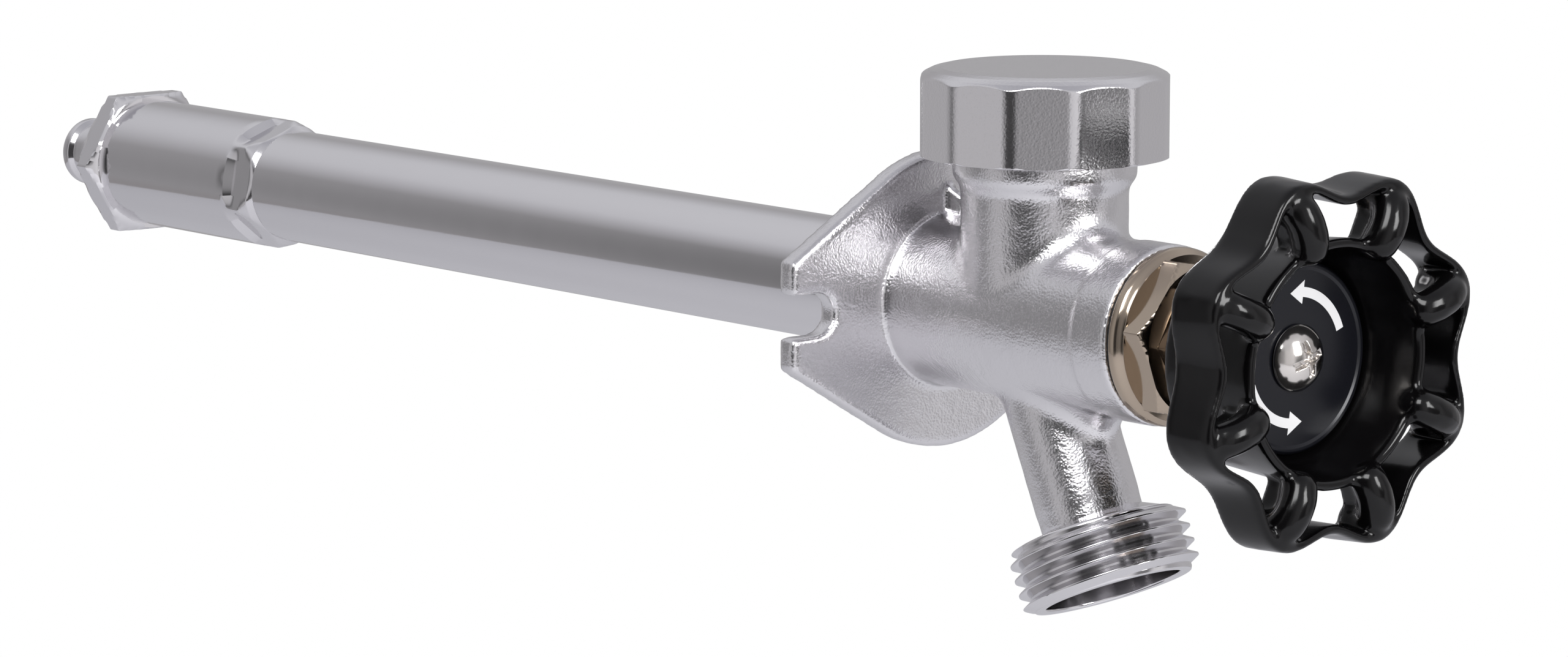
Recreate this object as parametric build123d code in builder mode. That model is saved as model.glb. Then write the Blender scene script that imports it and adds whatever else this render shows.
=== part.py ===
from build123d import *
import os
from math import acos, atan2, cos, hypot, pi, radians, sin

# Frost-proof wall hose bib with a vacuum breaker, in millimetres.
# Origin: centre of the wall flange's back face, on the supply tube's axis.
# -Y points out of the wall to the handle, +Y runs into the wall, +Z is up.

os.makedirs("parts", exist_ok=True)

# ---- driving dimensions -------------------------------------------------
TUBE_R = 9.525            # 3/4 in supply tube
TUBE_BORE_R = 8.3
SOCKET_DEPTH = 10.0       # the tube's socket in the body
TUBE_END = 188.0          # tube end inside the inlet fitting

FLANGE_T = 3.41
FLANGE_R = 22.54
FLANGE_TIP_X = 30.7
FLANGE_TIP_Z = 8.0
NOTCH_HALF = 3.1
NOTCH_ROOT_X = 22.5
FLANGE_EDGE = 0.7         # rounding of the flange's front edge
SLOT_CORNER = 0.9

BARREL_R = 12.99
BARREL_FRONT_R = 13.09
BARREL_STEP = 43.5        # distance of the faint step from the wall
BARREL_END = 50.67
CHAMBER_R = 8.6
BONNET_SEAT = 37.0        # where the bonnet's bore starts
BONNET_BORE_R = 10.9
CAST_FILLET = 4.0
RIB_FOOT_Y = -12.5        # cast rib between the flange and the neck
RIB_HIGH = 17.5
RIB_LOW = 13.4
RIB_HALF = 0.8

NECK_Y = -24.19
NECK_R = 12.37
SHOULDER_R = 13.58
SHOULDER_Z = 21.0
SHOULDER_START = 18.6
NECK_TOP = 32.0
NECK_THREAD_R = 12.6
VENT_BORE_R = 10.4
VENT_FLOOR = 14.0
VENT_PORT_R = 5.2

CAP_BOTTOM = 23.68
CAP_CEILING = 33.6
CAP_EDGE_Z = 34.2          # where the domed shoulder starts
CAP_TOP = 36.7
CAP_AF = 36.34            # across flats
CAP_SIDES = 12
CAP_FLAT_ANGLE = 229.4    # direction of one flat's normal about Z
CAP_TOP_R = 15.2

SPOUT_Y = -21.49
SPOUT_TILT = 24.7         # degrees forward of straight down
SPOUT_R = 7.8
SPOUT_BORE_R = 5.6
SPOUT_END = 43.1
COLLAR_START = 30.2
COLLAR_END = 31.5
MOUTH_R = 10.1
MOUTH_DEPTH = 8.6

HOSE_MAJOR_R = 13.495     # 3/4-11.5 NH garden hose thread
HOSE_MINOR_R = 12.06
HOSE_PITCH = 25.4 / 11.5
HOSE_FLAT = 0.28          # width of a crest
HOSE_LAST_CREST = 41.77
HOSE_CREST_ANGLE = 130.7  # where round the spout that crest is measured

STEM_LEAD = 3.2           # operating screw's travel per turn
SCREW_BACK = -28.5
SCREW_FRONT = -42.0
SCREW_MAJOR_R = 8.0
SCREW_MINOR_R = 6.7
SCREW_FLAT = 0.9
THREAD_GAP = 0.2
SPINDLE_R = 4.8
SPINDLE_END = -73.6
SPLINE_R = 3.9
SPLINE_START = -67.0
SPLINE_TEETH = 12
STEM_R = 3.0
STEM_END = 185.4
RUNNING_GAP = 0.06
SHAFT_GAP = 0.1
GUIDE_Y = 120.0           # the rod's guide, halfway along the tube
GUIDE_LENGTH = 12.0
ROD_SOCKET = 8.0

BONNET_BACK = -37.2
GASKET_T = 0.4
COLLAR_R = 13.05
HEX_START = -53.6
BONNET_FRONT = -57.5
BONNET_HEX_AF = 21.65
BONNET_HEX_TURN = 50.0    # angle of one corner above +X
PARTITION_BACK = -50.5
PARTITION_FRONT = -51.7
PACKING_BOX_R = 7.9
PACKING_WASHER_FRONT = -52.7
PACKING_FRONT = -55.7
PACKING_NUT_FRONT = -62.0
PACKING_NUT_AF = 15.9

SLEEVE_R = 11.08
CRIMP_START = 163.6
CRIMP_END = 170.0
CRIMP_AF = 19.7
CRIMP_TURN = 20.0         # angle of one corner above +X
INLET_HEX_AF = 24.0
INLET_HEX_START = 207.0
INLET_HEX_END = 212.0
SEAT_FACE = 194.0
SEAT_R = 4.2
SEAT_CROWN_R = 5.5
INLET_FLOOR = 196.0
BARB_R = 6.0
BARB_ROOT_R = 5.2
BARB_BORE_R = 3.9
BARB_ENDS = (217.2, 222.4, 228.5)
INLET_END = BARB_ENDS[-1]

WASHER_R = 6.2
WASHER_BACK = 190.4
HOLDER_R = 6.9
HOLDER_HUB_R = 5.0
HOLDER_BACK = 179.5
HOLDER_STEP = 186.4
HOLDER_FRONT = 192.0
WASHER_SCREW_BACK = 187.2
WASHER_SCREW_HEAD_R = 3.3
SNAP_Y = 182.4            # middle of the swivel's snap ring

HANDLE_LOBES = 8
HANDLE_TURN = 20.0        # angle of one lobe above +X
LOBE_R = 27.8
VALLEY_R = 24.2
RIM_T = 1.9
RIM_BACK = -76.4
RIM_FRONT = -85.1
CUP_MOUTH_R = 17.9
CUP_BACK_R = 16.6
CUP_WALL = 1.5
CUP_FRONT = -84.5
CUP_BACK = -66.0
WEB_FRONT = -74.4
WEB_T = 2.6
HUB_R = 7.4
FINGER_W = 4.8
FINGER_FRONT = -87.4
FINGER_DEPTH = 5.0
FINGER_INNER_R = 18.2
FINGER_OUTER_R = 24.9
RIB_T = 1.8
RIB_BACK = -78.4
DISC_R = 13.77
DISC_FACE = -75.8
SCREW_HEAD_R = 4.8
SCREW_HEAD_H = 3.0
SCREW_SHANK_R = 1.95
RECESS_TURN = 20.0
RECESS_LENGTH = 4.6
RECESS_WIDTH = 1.0
RECESS_DEPTH = 2.0

FLOAT_R = 8.0
FLOAT_TRAVEL = 2.5
SEAL_BOTTOM = 18.0
SEAL_T = 2.0
FLOAT_TOP = 23.0
CAGE_BOTTOM = 25.8
CAGE_TOP = 31.6
GUIDE_R = 2.4
CAGE_BORE_R = 7.4
CAGE_SPOKE_T = 3.4
SEAL_BORE_R = 3.0

# ---- planes and axes ----------------------------------------------------
tilt = radians(SPOUT_TILT)
spout_dir = Vector(0, -sin(tilt), -cos(tilt))
spout_origin = (0, SPOUT_Y, 0)
spout_plane = Plane(origin=spout_origin, x_dir=(1, 0, 0), z_dir=spout_dir)
spout_section = Plane(origin=spout_origin, x_dir=(1, 0, 0), z_dir=(0, cos(tilt), -sin(tilt)))
spout_axis = Axis(spout_origin, spout_dir)
neck_plane = Plane(origin=(0, NECK_Y, 0))
neck_section = Plane(origin=(0, NECK_Y, 0), x_dir=(1, 0, 0), z_dir=(0, -1, 0))
neck_axis = Axis((0, NECK_Y, 0), (0, 0, 1))


def front_plane(y):
    """Plane across the tube's axis at y, facing the handle's side."""
    return Plane(origin=(0, y, 0), x_dir=(1, 0, 0), z_dir=(0, -1, 0))


def section(points, plane=Plane.XY):
    """Closed outline of straight lines, as (radius, height) pairs."""
    with BuildSketch(plane) as outline:
        with BuildLine():
            Polyline(*points, close=True)
        make_face()
    return outline.sketch


def ring_section(inner_r, outer_r, start, end, plane=Plane.XY):
    """Rectangle that revolves into a ring."""
    corners = [(inner_r, start), (outer_r, start), (outer_r, end), (inner_r, end)]
    return section(corners, plane)


def threaded_bar(plane, length, root_r, crest_r, pitch, root_w, crest_w, sink=0.2):
    """Bar along the plane's normal with a right-hand thread of the given tooth."""
    depth = crest_r - root_r
    slope = (root_w - crest_w) / 2 / depth
    foot = root_w / 2 + sink * slope
    with BuildLine() as path:
        Helix(pitch=pitch, height=length, radius=root_r)
    start_plane = Plane(origin=path.line @ 0, x_dir=(1, 0, 0), z_dir=path.line % 0)
    with BuildPart() as ridge:
        with BuildSketch(start_plane):
            with BuildLine():
                Polyline(
                    (-sink, -foot), (depth, -crest_w / 2), (depth, crest_w / 2), (-sink, foot),
                    close=True,
                )
            make_face()
        sweep(path=path.line, is_frenet=True)
    with BuildPart() as bar:
        with BuildSketch(Plane.XY):
            Circle(root_r)
        extrude(amount=length)
        add(ridge.part)
    return bar.part.moved(plane.location)


def wavy_outline(lobe_r, valley_r, plane):
    """Closed outline of the handle's rim: a circle with a soft wave for each lobe."""
    steps = HANDLE_LOBES * 8
    points = []
    for i in range(steps):
        angle = 2 * pi * i / steps
        wave = 0.5 + 0.5 * cos(HANDLE_LOBES * (angle - radians(HANDLE_TURN)))
        radius = valley_r + (lobe_r - valley_r) * wave
        points.append((radius * cos(angle), radius * sin(angle)))
    with BuildSketch(plane) as outline:
        with BuildLine():
            Spline(*points, periodic=True)
        make_face()
    return outline.sketch


# ---- cast body ----------------------------------------------------------
tip_distance = hypot(FLANGE_TIP_X, FLANGE_TIP_Z)
tangent_angle = atan2(FLANGE_TIP_Z, FLANGE_TIP_X) + acos(FLANGE_R / tip_distance)
tangent_x = FLANGE_R * cos(tangent_angle)
tangent_z = FLANGE_R * sin(tangent_angle)

hose_turns_back = 5 + HOSE_CREST_ANGLE / 360
hose_start = HOSE_LAST_CREST - HOSE_PITCH * hose_turns_back
with BuildPart() as hose_thread:
    add(
        threaded_bar(
            spout_plane.offset(hose_start), SPOUT_END - hose_start + 1, HOSE_MINOR_R,
            HOSE_MAJOR_R, HOSE_PITCH, HOSE_PITCH - HOSE_FLAT, HOSE_FLAT,
        )
    )
    envelope = [
        (0, COLLAR_START), (SPOUT_R, COLLAR_START), (HOSE_MINOR_R - 0.4, COLLAR_END - 0.3),
        (HOSE_MINOR_R, COLLAR_END - 0.1), (HOSE_MAJOR_R + 0.1, COLLAR_END + 0.5),
        (HOSE_MAJOR_R + 0.1, SPOUT_END - 0.8), (HOSE_MINOR_R + 0.3, SPOUT_END), (0, SPOUT_END),
    ]
    revolve(section(envelope, spout_section), axis=spout_axis, mode=Mode.INTERSECT)

with BuildPart() as valve_body:
    with BuildSketch(Plane.XZ):
        Circle(BARREL_R)
    extrude(amount=BARREL_END)
    with BuildSketch(neck_plane):
        Circle(NECK_R)
    extrude(amount=CAP_BOTTOM)
    neck_seam = valve_body.edges().filter_by(GeomType.BSPLINE)
    fillet(neck_seam, CAST_FILLET)
    with BuildSketch(spout_plane):
        Circle(SPOUT_R)
    extrude(amount=COLLAR_END)
    spout_seam = valve_body.edges(Select.LAST).filter_by(GeomType.BSPLINE)
    fillet(spout_seam, CAST_FILLET)
    front_band = ring_section(BARREL_R - 1, BARREL_FRONT_R, -BARREL_STEP, -BARREL_END)
    revolve(front_band, axis=Axis.Y)
    # wall flange with its two screw slots
    with BuildSketch(Plane.XZ):
        with BuildLine():
            Line((FLANGE_TIP_X, -FLANGE_TIP_Z), (FLANGE_TIP_X, FLANGE_TIP_Z))
            Line((FLANGE_TIP_X, FLANGE_TIP_Z), (tangent_x, tangent_z))
            ThreePointArc((tangent_x, tangent_z), (0, FLANGE_R), (-tangent_x, tangent_z))
            Line((-tangent_x, tangent_z), (-FLANGE_TIP_X, FLANGE_TIP_Z))
            Line((-FLANGE_TIP_X, FLANGE_TIP_Z), (-FLANGE_TIP_X, -FLANGE_TIP_Z))
            Line((-FLANGE_TIP_X, -FLANGE_TIP_Z), (-tangent_x, -tangent_z))
            ThreePointArc((-tangent_x, -tangent_z), (0, -FLANGE_R), (tangent_x, -tangent_z))
            Line((tangent_x, -tangent_z), (FLANGE_TIP_X, -FLANGE_TIP_Z))
        make_face()
        with Locations((NOTCH_ROOT_X + 10, 0), (-NOTCH_ROOT_X - 10, 0)):
            SlotOverall(20, 2 * NOTCH_HALF, mode=Mode.SUBTRACT)
    extrude(amount=FLANGE_T)
    slot_corners = valve_body.edges().filter_by(Axis.Y).filter_by(
        lambda e: abs(e.center().X) > FLANGE_TIP_X - 0.1
    )
    fillet(slot_corners, SLOT_CORNER)
    flange_front = valve_body.faces().filter_by(Axis.Y).filter_by(
        lambda f: abs(f.center().Y + FLANGE_T) < 0.01
    )[0]
    fillet(flange_front.outer_wire().edges(), FLANGE_EDGE)
    # small cast rib between the flange and the neck
    with BuildSketch(Plane.YZ):
        with BuildLine():
            Polyline(
                (-FLANGE_T + 0.5, BARREL_R - 1), (-FLANGE_T + 0.5, RIB_HIGH), (RIB_FOOT_Y, RIB_LOW),
                (RIB_FOOT_Y, BARREL_R - 1), close=True,
            )
        make_face()
    extrude(amount=RIB_HALF, both=True)
    # shoulder and threaded top of the neck
    shoulder = [
        (NECK_R - 1, SHOULDER_START), (NECK_R, SHOULDER_START), (NECK_R + 0.2, SHOULDER_START + 0.8),
        (SHOULDER_R - 0.35, SHOULDER_Z - 0.8),
        (SHOULDER_R, SHOULDER_Z), (SHOULDER_R, CAP_BOTTOM), (NECK_THREAD_R, CAP_BOTTOM),
        (NECK_THREAD_R, NECK_TOP), (0, NECK_TOP), (0, SHOULDER_START),
    ]
    revolve(section(shoulder, neck_section), axis=neck_axis)
    add(hose_thread.part)
    # waterways
    bore = [
        (0, 1), (TUBE_R, 1), (TUBE_R, -SOCKET_DEPTH), (CHAMBER_R, -SOCKET_DEPTH),
        (CHAMBER_R, -BONNET_SEAT), (BONNET_BORE_R, -BONNET_SEAT),
        (BONNET_BORE_R, -BARREL_END - 1), (0, -BARREL_END - 1),
    ]
    revolve(section(bore), axis=Axis.Y, mode=Mode.SUBTRACT)
    vent = [
        (0, 0), (VENT_PORT_R, 0), (VENT_PORT_R, VENT_FLOOR), (VENT_BORE_R, VENT_FLOOR),
        (VENT_BORE_R, NECK_TOP + 1), (0, NECK_TOP + 1),
    ]
    revolve(section(vent, neck_section), axis=neck_axis, mode=Mode.SUBTRACT)
    mouth_start = SPOUT_END - MOUTH_DEPTH
    outlet = [
        (0, 0), (SPOUT_BORE_R, 0), (SPOUT_BORE_R, mouth_start - 3), (MOUTH_R, mouth_start),
        (MOUTH_R, SPOUT_END + 1), (0, SPOUT_END + 1),
    ]
    revolve(section(outlet, spout_section), axis=spout_axis, mode=Mode.SUBTRACT)
valve_body.part.label = "valve_body"
export_step(valve_body.part, "parts/valve_body.step")

# ---- supply tube and inlet fitting --------------------------------------
with BuildPart() as barrel_tube:
    revolve(ring_section(TUBE_BORE_R, TUBE_R, -SOCKET_DEPTH, TUBE_END), axis=Axis.Y)
barrel_tube.part.label = "barrel_tube"
export_step(barrel_tube.part, "parts/barrel_tube.step")

with BuildPart() as inlet_fitting:
    # six flats pressed into the sleeve's end
    with BuildSketch(front_plane(CRIMP_END)):
        Circle(SLEEVE_R)
        RegularPolygon(
            CRIMP_AF / 2, 6, major_radius=False, rotation=CRIMP_TURN, mode=Mode.INTERSECT
        )
    extrude(amount=CRIMP_END - CRIMP_START)
    lip = [
        (0, CRIMP_START), (TUBE_R + 0.15, CRIMP_START), (SLEEVE_R, CRIMP_START + 3.0),
        (SLEEVE_R, CRIMP_END), (0, CRIMP_END),
    ]
    revolve(section(lip), axis=Axis.Y, mode=Mode.INTERSECT)
    sleeve = [
        (0, CRIMP_END), (SLEEVE_R - 0.5, CRIMP_END), (SLEEVE_R, CRIMP_END + 0.5),
        (SLEEVE_R, INLET_HEX_START), (0, INLET_HEX_START),
    ]
    revolve(section(sleeve), axis=Axis.Y)
    with BuildSketch(front_plane(INLET_HEX_END)):
        RegularPolygon(INLET_HEX_AF / 2, 6, major_radius=False)
    extrude(amount=INLET_HEX_END - INLET_HEX_START)
    corner_r = INLET_HEX_AF / 2 / cos(radians(30))
    hex_chamfer = [
        (INLET_HEX_AF / 2 - 0.4, INLET_HEX_END), (corner_r + 0.1, INLET_HEX_END - 1.6),
        (corner_r + 1, INLET_HEX_END - 1.6), (corner_r + 1, INLET_HEX_END + 0.1),
        (INLET_HEX_AF / 2 - 0.4, INLET_HEX_END + 0.1),
    ]
    revolve(section(hex_chamfer), axis=Axis.Y, mode=Mode.SUBTRACT)
    # pipe barb: rounded ribs with grooves between them
    with BuildSketch(Plane.XY):
        with BuildLine():
            Line((0, INLET_HEX_END), (BARB_ROOT_R, INLET_HEX_END))
            rib_start = (BARB_ROOT_R, INLET_HEX_END)
            for rib_end in BARB_ENDS:
                rib_top = (BARB_R, rib_end - 2.6)
                tip = (BARB_ROOT_R, rib_end)
                Line(rib_start, (BARB_ROOT_R, rib_end - 3.4))
                Line((BARB_ROOT_R, rib_end - 3.4), rib_top)
                ThreePointArc(rib_top, (BARB_R - 0.12, rib_end - 1.0), tip)
                rib_start = tip
            Line(rib_start, (0, INLET_END))
            Line((0, INLET_END), (0, INLET_HEX_END))
        make_face()
    revolve(axis=Axis.Y)
    # bore for the tube, the valve seat's crown and the way to the pipe
    inlet_bore = [
        (0, CRIMP_START - 1), (TUBE_R, CRIMP_START - 1), (TUBE_R, TUBE_END + 0.2),
        (TUBE_BORE_R, TUBE_END + 0.2), (TUBE_BORE_R, INLET_FLOOR),
        (SEAT_CROWN_R, INLET_FLOOR), (SEAT_CROWN_R - 0.5, SEAT_FACE), (SEAT_R, SEAT_FACE),
        (SEAT_R, INLET_HEX_START), (BARB_BORE_R, INLET_HEX_START + 0.5),
        (BARB_BORE_R, INLET_END + 1), (0, INLET_END + 1),
    ]
    revolve(section(inlet_bore), axis=Axis.Y, mode=Mode.SUBTRACT)
inlet_fitting.part.label = "inlet_fitting"
export_step(inlet_fitting.part, "parts/inlet_fitting.step")

# ---- bonnet and packing -------------------------------------------------
screw_plane = front_plane(SCREW_BACK + 4)
root_width = STEM_LEAD / 2 + SCREW_FLAT / 2
with BuildPart() as male_thread:
    add(
        threaded_bar(
            screw_plane, SCREW_BACK - SCREW_FRONT + 8, SCREW_MINOR_R, SCREW_MAJOR_R,
            STEM_LEAD, root_width, SCREW_FLAT,
        )
    )
    male_outline = [
        (0, SCREW_BACK), (SCREW_MINOR_R - 0.6, SCREW_BACK), (SCREW_MAJOR_R + 1, SCREW_BACK - 1.6),
        (SCREW_MAJOR_R + 1, SCREW_FRONT + 1.6), (SCREW_MINOR_R - 0.6, SCREW_FRONT),
        (0, SCREW_FRONT),
    ]
    revolve(section(male_outline), axis=Axis.Y, mode=Mode.INTERSECT)
with BuildPart() as female_cut:
    add(
        threaded_bar(
            screw_plane, SCREW_BACK + 4 - BONNET_FRONT, SCREW_MINOR_R + THREAD_GAP,
            SCREW_MAJOR_R + THREAD_GAP, STEM_LEAD, root_width + 2 * THREAD_GAP,
            SCREW_FLAT + 2 * THREAD_GAP,
        )
    )
    revolve(
        ring_section(0, SCREW_MAJOR_R + 1, BONNET_BACK + 1, PARTITION_BACK),
        axis=Axis.Y, mode=Mode.INTERSECT,
    )

collar_back = -BARREL_END - GASKET_T
with BuildPart() as bonnet:
    with BuildSketch(front_plane(HEX_START)):
        RegularPolygon(BONNET_HEX_AF / 2, 6, major_radius=False, rotation=BONNET_HEX_TURN - 30)
    extrude(amount=HEX_START - BONNET_FRONT)
    bonnet_corner = BONNET_HEX_AF / 2 / cos(radians(30))
    bonnet_chamfer = [
        (BONNET_HEX_AF / 2 - 0.1, BONNET_FRONT), (bonnet_corner + 0.1, BONNET_FRONT + 1.1),
        (bonnet_corner + 1, BONNET_FRONT + 1.1), (bonnet_corner + 1, BONNET_FRONT - 0.1),
        (BONNET_HEX_AF / 2 - 0.1, BONNET_FRONT - 0.1),
    ]
    revolve(section(bonnet_chamfer), axis=Axis.Y, mode=Mode.SUBTRACT)
    with BuildSketch(Plane.XY):
        with BuildLine():
            Polyline(
                (0, HEX_START), (0, BONNET_BACK), (BONNET_BORE_R, BONNET_BACK),
                (BONNET_BORE_R, collar_back), (COLLAR_R - 0.3, collar_back),
                (COLLAR_R, collar_back - 0.3),
            )
            ThreePointArc(
                (COLLAR_R, collar_back - 0.3), (COLLAR_R - 0.35, collar_back - 1.7),
                (BONNET_HEX_AF / 2 + 0.4, HEX_START),
            )
            Line((BONNET_HEX_AF / 2 + 0.4, HEX_START), (0, HEX_START))
        make_face()
    revolve(axis=Axis.Y)
    bonnet_bore = [
        (0, PARTITION_BACK + 1), (SPINDLE_R + SHAFT_GAP, PARTITION_BACK + 1),
        (SPINDLE_R + SHAFT_GAP, PARTITION_FRONT), (PACKING_BOX_R, PARTITION_FRONT),
        (PACKING_BOX_R, BONNET_FRONT - 1), (0, BONNET_FRONT - 1),
    ]
    revolve(section(bonnet_bore), axis=Axis.Y, mode=Mode.SUBTRACT)
    add(female_cut.part, mode=Mode.SUBTRACT)
bonnet.part.label = "bonnet"
export_step(bonnet.part, "parts/bonnet.step")

with BuildPart() as bonnet_gasket:
    revolve(ring_section(BONNET_BORE_R, COLLAR_R - 0.6, -BARREL_END, collar_back), axis=Axis.Y)
bonnet_gasket.part.label = "bonnet_gasket"
export_step(bonnet_gasket.part, "parts/bonnet_gasket.step")

with BuildPart() as packing_washer:
    washer_outline = ring_section(
        SPINDLE_R + SHAFT_GAP, PACKING_BOX_R, PARTITION_FRONT, PACKING_WASHER_FRONT
    )
    revolve(washer_outline, axis=Axis.Y)
packing_washer.part.label = "packing_washer"
export_step(packing_washer.part, "parts/packing_washer.step")

with BuildPart() as packing_ring:
    packing_outline = ring_section(
        SPINDLE_R + RUNNING_GAP, PACKING_BOX_R, PACKING_WASHER_FRONT, PACKING_FRONT
    )
    revolve(packing_outline, axis=Axis.Y)
packing_ring.part.label = "packing_ring"
export_step(packing_ring.part, "parts/packing_ring.step")

with BuildPart() as packing_nut:
    revolve(
        ring_section(SPINDLE_R + SHAFT_GAP, PACKING_BOX_R, PACKING_FRONT, BONNET_FRONT - 0.1),
        axis=Axis.Y,
    )
    with BuildSketch(front_plane(BONNET_FRONT)):
        RegularPolygon(PACKING_NUT_AF / 2, 6, major_radius=False)
        Circle(SPINDLE_R + SHAFT_GAP, mode=Mode.SUBTRACT)
    extrude(amount=BONNET_FRONT - PACKING_NUT_FRONT)
    nut_corner = PACKING_NUT_AF / 2 / cos(radians(30))
    nut_chamfer = [
        (PACKING_NUT_AF / 2, PACKING_NUT_FRONT), (nut_corner + 0.1, PACKING_NUT_FRONT + 0.9),
        (nut_corner + 1, PACKING_NUT_FRONT + 0.9), (nut_corner + 1, PACKING_NUT_FRONT - 0.1),
        (PACKING_NUT_AF / 2, PACKING_NUT_FRONT - 0.1),
    ]
    revolve(section(nut_chamfer), axis=Axis.Y, mode=Mode.SUBTRACT)
packing_nut.part.label = "packing_nut"
export_step(packing_nut.part, "parts/packing_nut.step")

# ---- stem ---------------------------------------------------------------
with BuildSketch(front_plane(SPLINE_START)) as spline_profile:
    Circle(SPLINE_R)
    with PolarLocations(SPLINE_R - 0.3, SPLINE_TEETH):
        Rectangle(1.5, 0.9)

with BuildPart() as operating_screw:
    add(male_thread.part)
    revolve(ring_section(0, SPINDLE_R, SCREW_FRONT + 1, SPLINE_START), axis=Axis.Y)
    extrude(spline_profile.sketch, amount=SPLINE_START - SPINDLE_END)
    rod_socket = ring_section(0, STEM_R, SCREW_BACK + 1, SCREW_BACK - ROD_SOCKET)
    revolve(rod_socket, axis=Axis.Y, mode=Mode.SUBTRACT)
    tapped_hole = ring_section(0, SCREW_SHANK_R, SPINDLE_END - 1, SPINDLE_END + 12)
    revolve(tapped_hole, axis=Axis.Y, mode=Mode.SUBTRACT)
operating_screw.part.label = "operating_screw"
export_step(operating_screw.part, "parts/operating_screw.step")

with BuildPart() as stem_rod:
    groove_r = STEM_R - 0.6
    rod = [
        (0, SCREW_BACK - ROD_SOCKET), (STEM_R, SCREW_BACK - ROD_SOCKET), (STEM_R, SNAP_Y - 0.5),
        (groove_r, SNAP_Y - 0.5), (groove_r, SNAP_Y + 0.5), (STEM_R, SNAP_Y + 0.5),
        (STEM_R, STEM_END - 0.6), (STEM_R - 0.6, STEM_END), (0, STEM_END),
    ]
    revolve(section(rod), axis=Axis.Y)
stem_rod.part.label = "stem_rod"
export_step(stem_rod.part, "parts/stem_rod.step")

with BuildPart() as stem_guide:
    with BuildSketch(front_plane(GUIDE_Y)):
        Circle(STEM_R + 1.6)
        with PolarLocations(STEM_R + 2.9, 4):
            Rectangle(4.4, 2.0)
        Circle(STEM_R, mode=Mode.SUBTRACT)
        Circle(TUBE_BORE_R - SHAFT_GAP, mode=Mode.INTERSECT)
    extrude(amount=GUIDE_LENGTH)
stem_guide.part.label = "stem_guide"
export_step(stem_guide.part, "parts/stem_guide.step")

with BuildPart() as swivel_ring:
    revolve(ring_section(groove_r, STEM_R + 0.8, SNAP_Y - 0.4, SNAP_Y + 0.4), axis=Axis.Y)
    with BuildSketch(front_plane(SNAP_Y + 1)):
        with Locations((STEM_R + 0.2, 0)):
            Rectangle(3, 1.4)
    extrude(amount=2, mode=Mode.SUBTRACT)
swivel_ring.part.label = "swivel_ring"
export_step(swivel_ring.part, "parts/swivel_ring.step")

with BuildPart() as washer_holder:
    holder = [
        (0, HOLDER_BACK), (HOLDER_HUB_R, HOLDER_BACK), (HOLDER_HUB_R, HOLDER_STEP),
        (HOLDER_R - 0.6, HOLDER_STEP), (HOLDER_R, HOLDER_STEP + 0.6), (HOLDER_R, HOLDER_FRONT),
        (WASHER_R, HOLDER_FRONT), (WASHER_R, WASHER_BACK), (0, WASHER_BACK),
    ]
    revolve(section(holder), axis=Axis.Y)
    bore_r = STEM_R + RUNNING_GAP
    snap_r = STEM_R + 0.9
    swivel_bore = [
        (0, HOLDER_BACK - 1), (bore_r, HOLDER_BACK - 1), (bore_r, SNAP_Y - 0.55),
        (snap_r, SNAP_Y - 0.55), (snap_r, SNAP_Y + 0.55), (bore_r, SNAP_Y + 0.55),
        (bore_r, STEM_END + 0.2), (0, STEM_END + 0.2),
    ]
    revolve(section(swivel_bore), axis=Axis.Y, mode=Mode.SUBTRACT)
    screw_hole = ring_section(0, SCREW_SHANK_R, WASHER_SCREW_BACK - 0.2, WASHER_BACK + 1)
    revolve(screw_hole, axis=Axis.Y, mode=Mode.SUBTRACT)
washer_holder.part.label = "washer_holder"
export_step(washer_holder.part, "parts/washer_holder.step")

washer_front = SEAT_FACE - 0.03
with BuildPart() as seat_washer:
    revolve(ring_section(SCREW_SHANK_R, WASHER_R, WASHER_BACK, washer_front), axis=Axis.Y)
seat_washer.part.label = "seat_washer"
export_step(seat_washer.part, "parts/seat_washer.step")

with BuildPart() as seat_washer_screw:
    screw_outline = [
        (0, WASHER_SCREW_BACK), (SCREW_SHANK_R, WASHER_SCREW_BACK), (SCREW_SHANK_R, washer_front),
        (WASHER_SCREW_HEAD_R, washer_front), (WASHER_SCREW_HEAD_R, washer_front + 1.2),
        (WASHER_SCREW_HEAD_R - 0.8, washer_front + 1.9), (0, washer_front + 1.9),
    ]
    revolve(section(screw_outline), axis=Axis.Y)
    with BuildSketch(front_plane(washer_front + 2)):
        Rectangle(8, 0.8)
    extrude(amount=1.1, mode=Mode.SUBTRACT)
seat_washer_screw.part.label = "seat_washer_screw"
export_step(seat_washer_screw.part, "parts/seat_washer_screw.step")

# ---- handle -------------------------------------------------------------
with BuildPart() as fingers:
    with BuildSketch(front_plane(FINGER_FRONT + FINGER_DEPTH)):
        with PolarLocations((FINGER_INNER_R + FINGER_OUTER_R) / 2, HANDLE_LOBES, HANDLE_TURN):
            SlotCenterToCenter(FINGER_OUTER_R - FINGER_INNER_R, FINGER_W)
    extrude(amount=FINGER_DEPTH)
    finger_noses = fingers.faces().filter_by(Axis.Y).group_by(Axis.Y)[0]
    fillet(finger_noses.edges(), FINGER_W / 2 - 0.15)

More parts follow.
